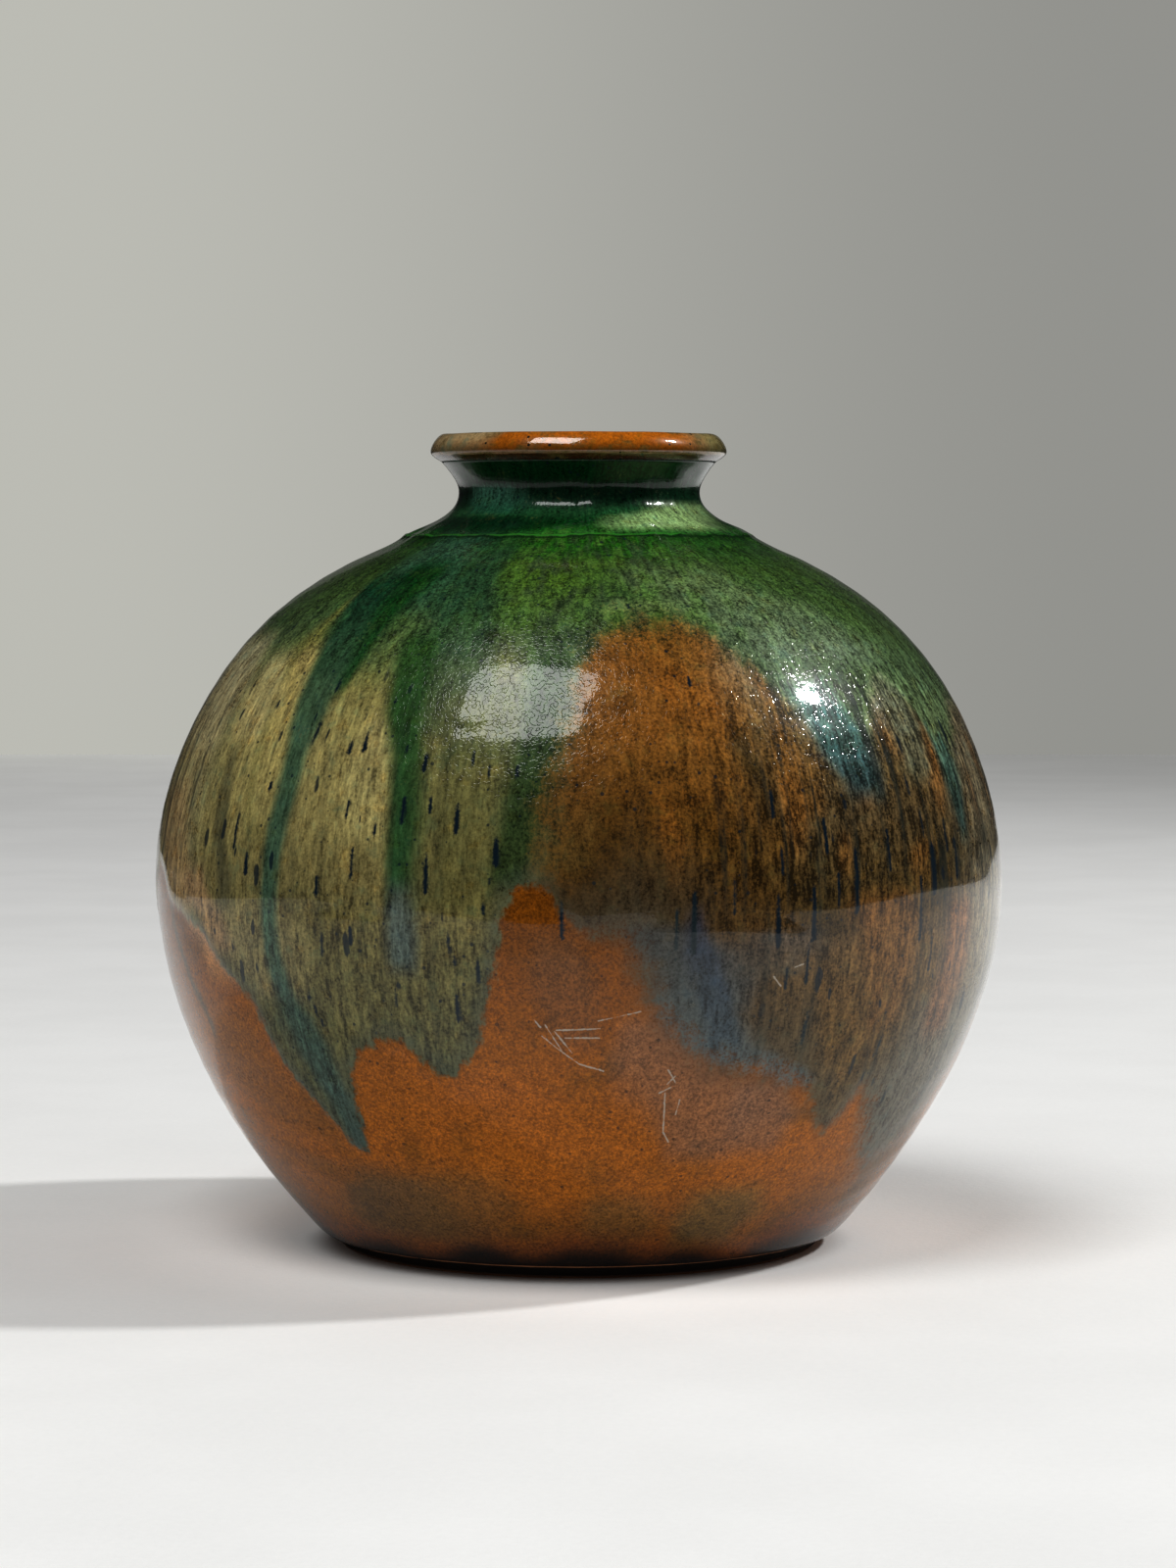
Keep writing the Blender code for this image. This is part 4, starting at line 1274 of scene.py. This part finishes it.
def add_light(name, place, size, watts, shape):
    """An area light that shines on the vase and that the camera doesn't see."""
    data = bpy.data.lights.new(name, "AREA")
    data.shape = shape
    data.size, data.size_y = size
    data.energy = watts
    light = bpy.data.objects.new(name, data)
    bpy.context.collection.objects.link(light)
    light.visible_camera = False
    light.location = place
    aim = Vector((0, 0, HEIGHT / 2)) - Vector(place)
    light.rotation_euler = aim.to_track_quat("-Z", "Y").to_euler()


def stage_piece(name, points, material):
    """One flat panel of the studio."""
    mesh = bpy.data.meshes.new(name)
    mesh.from_pydata(points, [], [tuple(range(len(points)))])
    mesh.materials.append(material)
    item = bpy.data.objects.new(name, mesh)
    bpy.context.collection.objects.link(item)
    return item


def table_paint():
    """Matt white paint, faintly grained, with a painted far shadow and a painted glow, stronger near the
    vase.
    """
    graph = Graph("table paint")
    place = graph.place()
    across = graph.axis(place, 0)
    aside = abs(across)
    reach = graph.length(place)
    grit = graph.noise(place, 420, 3, 0.7)
    white = graph.blend(graph.fade(graph.noise(place, 9, 3, 0.6), 0.3, 0.7), *TABLE_WHITES)
    white = graph.brightened(white, 1.0 + graph.weighted((grit, 0.05)))
    # Painted shadow far back on the right of the table
    far = graph.fade(graph.axis(place, 1), *FAR_BACK) * graph.fade(across, *FAR_ACROSS)
    white = graph.brightened(white, 1.0 - far * FAR_PAINTED_SHADOW)
    ahead = graph.fade(reach, *AHEAD_START) * graph.fade(reach, *AHEAD_END) * graph.fade(aside, *AHEAD_ASIDE)
    under = graph.fade(reach, *UNDER_REACH) * graph.fade(across, *UNDER_ACROSS)
    gain = MIRRORED_MIDDLE + graph.fade(aside, *SIDES_ASIDE) * MIRRORED_SIDES
    gain = gain + graph.fade(across, *RIGHT_ACROSS) * MIRRORED_RIGHT
    white = graph.mirrored(white, gain + ahead * MIRRORED_AHEAD - under * MIRRORED_UNDER)
    graph.finish(white, 0.9, graph.weighted((grit, 0.00012)))
    # Painted glow: left out under the foot, which paints a contact shadow there, and stronger near the vase
    glow = graph.fade(reach, *FOOT_REACH) * (1.0 + graph.fade(reach, *NEAR_REACH) * NEAR_GLOW)
    graph.feed(graph.shader.inputs["Emission Color"], graph.brightened(white, glow))
    graph.shader.inputs["Emission Strength"].default_value = TABLE_GLOW
    graph.shader.inputs["Specular IOR Level"].default_value = 0.1
    return graph.material


def wall_paint():
    """A backdrop that is lit from the left: pale there, greyer to the right."""
    graph = Graph("wall paint")
    across = graph.axis(graph.place(), 0)
    shade = graph.blend(graph.fade(across, *WALL_ACROSS), WALL_LEFT, WALL_RIGHT)
    glow = graph.node("Emission", {0: graph.mirrored(shade, MIRRORED_WALL)})
    graph.feed(graph.tree.nodes["Material Output"].inputs["Surface"], glow)
    return graph.material


def build_world():
    """Surroundings: grey to the camera, a soft fill on matt surfaces, dim in mirror images."""
    world = bpy.data.worlds.new("studio")
    bpy.context.scene.world = world
    world.use_nodes = True
    tree = world.node_tree
    path = tree.nodes.new("ShaderNodeLightPath")
    last = tree.nodes["Background"]
    last.inputs["Color"].default_value = (*linear(FILL), 1)
    for ray, colour in (("Is Glossy Ray", MIRRORED_ROOM), ("Is Camera Ray", SEEN_ROOM)):
        other = tree.nodes.new("ShaderNodeBackground")
        other.inputs["Color"].default_value = (*linear(colour), 1)
        mix = tree.nodes.new("ShaderNodeMixShader")
        tree.links.new(path.outputs[ray], mix.inputs[0])
        tree.links.new(last.outputs[0], mix.inputs[1])
        tree.links.new(other.outputs[0], mix.inputs[2])
        last = mix
    tree.links.new(last.outputs[0], tree.nodes["World Output"].inputs["Surface"])


def build_stage():
    """A pale table in front of a grey wall, and a wide floor that only the camera sees, for other views."""
    white = table_paint()
    corners = [(TABLE_LEFT, TABLE_FRONT, 0), (TABLE_CUT, TABLE_FRONT, 0), (*TABLE_BEND, 0),
               (TABLE_RIGHT, TABLE_CORNER, 0), (TABLE_RIGHT, TABLE_BACK, 0), (TABLE_LEFT, TABLE_BACK, 0)]
    stage_piece("table", corners, white)
    wall = [(-WALL_HALF, TABLE_BACK, WALL_TOP), (WALL_HALF, TABLE_BACK, WALL_TOP),
            (WALL_HALF, TABLE_BACK, -OUTER_DROP), (-WALL_HALF, TABLE_BACK, -OUTER_DROP)]
    stage_piece("wall", wall, wall_paint())
    sides = ((-1, -1), (1, -1), (1, 1), (-1, 1))
    corners = [(OUTER_FLOOR * right, OUTER_FLOOR * back, -OUTER_DROP) for right, back in sides]
    floor = stage_piece("outer_floor", corners, white)
    floor.visible_diffuse = False
    floor.visible_glossy = False
    floor.visible_shadow = False


def build_lights():
    """A small strong key light from the right and a softbox above the front, both far off for even light."""
    span = KEY_SPAN * KEY_DISTANCE
    watts = KEY_STRENGTH * KEY_DISTANCE**2
    add_light("key", around(KEY_TURN, KEY_LIFT, KEY_DISTANCE), (span, span), watts, "DISK")
    watts = SOFTBOX_STRENGTH * math.pi * math.prod(SOFTBOX_SIZE)
    add_light("softbox", SOFTBOX_PLACE, SOFTBOX_SIZE, watts, "RECTANGLE")


def build_camera():
    """The photograph's camera, and its contrast."""
    data = bpy.data.cameras.new("camera")
    data.sensor_fit = "VERTICAL"
    data.sensor_height = SENSOR
    data.lens = FOCAL_PIXELS / IMAGE_HEIGHT * SENSOR
    camera = bpy.data.objects.new("camera", data)
    bpy.context.collection.objects.link(camera)
    camera.location = CAMERA_PLACE
    camera.rotation_euler = (math.radians(90 - CAMERA_PITCH), 0, 0)
    bpy.context.scene.camera = camera
    bpy.context.scene.view_settings.view_transform = "Standard"
    bpy.context.scene.view_settings.gamma = DISPLAY_GAMMA


clay = clay_material("fired_clay", CLAY, DARK_CLAY)
slip = clay_material("luting_slip", SLIP, DARK_SLIP)
build_skin()
build_rim()
build_lining()
build_foot(clay)
dress_solids(clay, slip)
build_stage()
build_world()
build_lights()
build_camera()
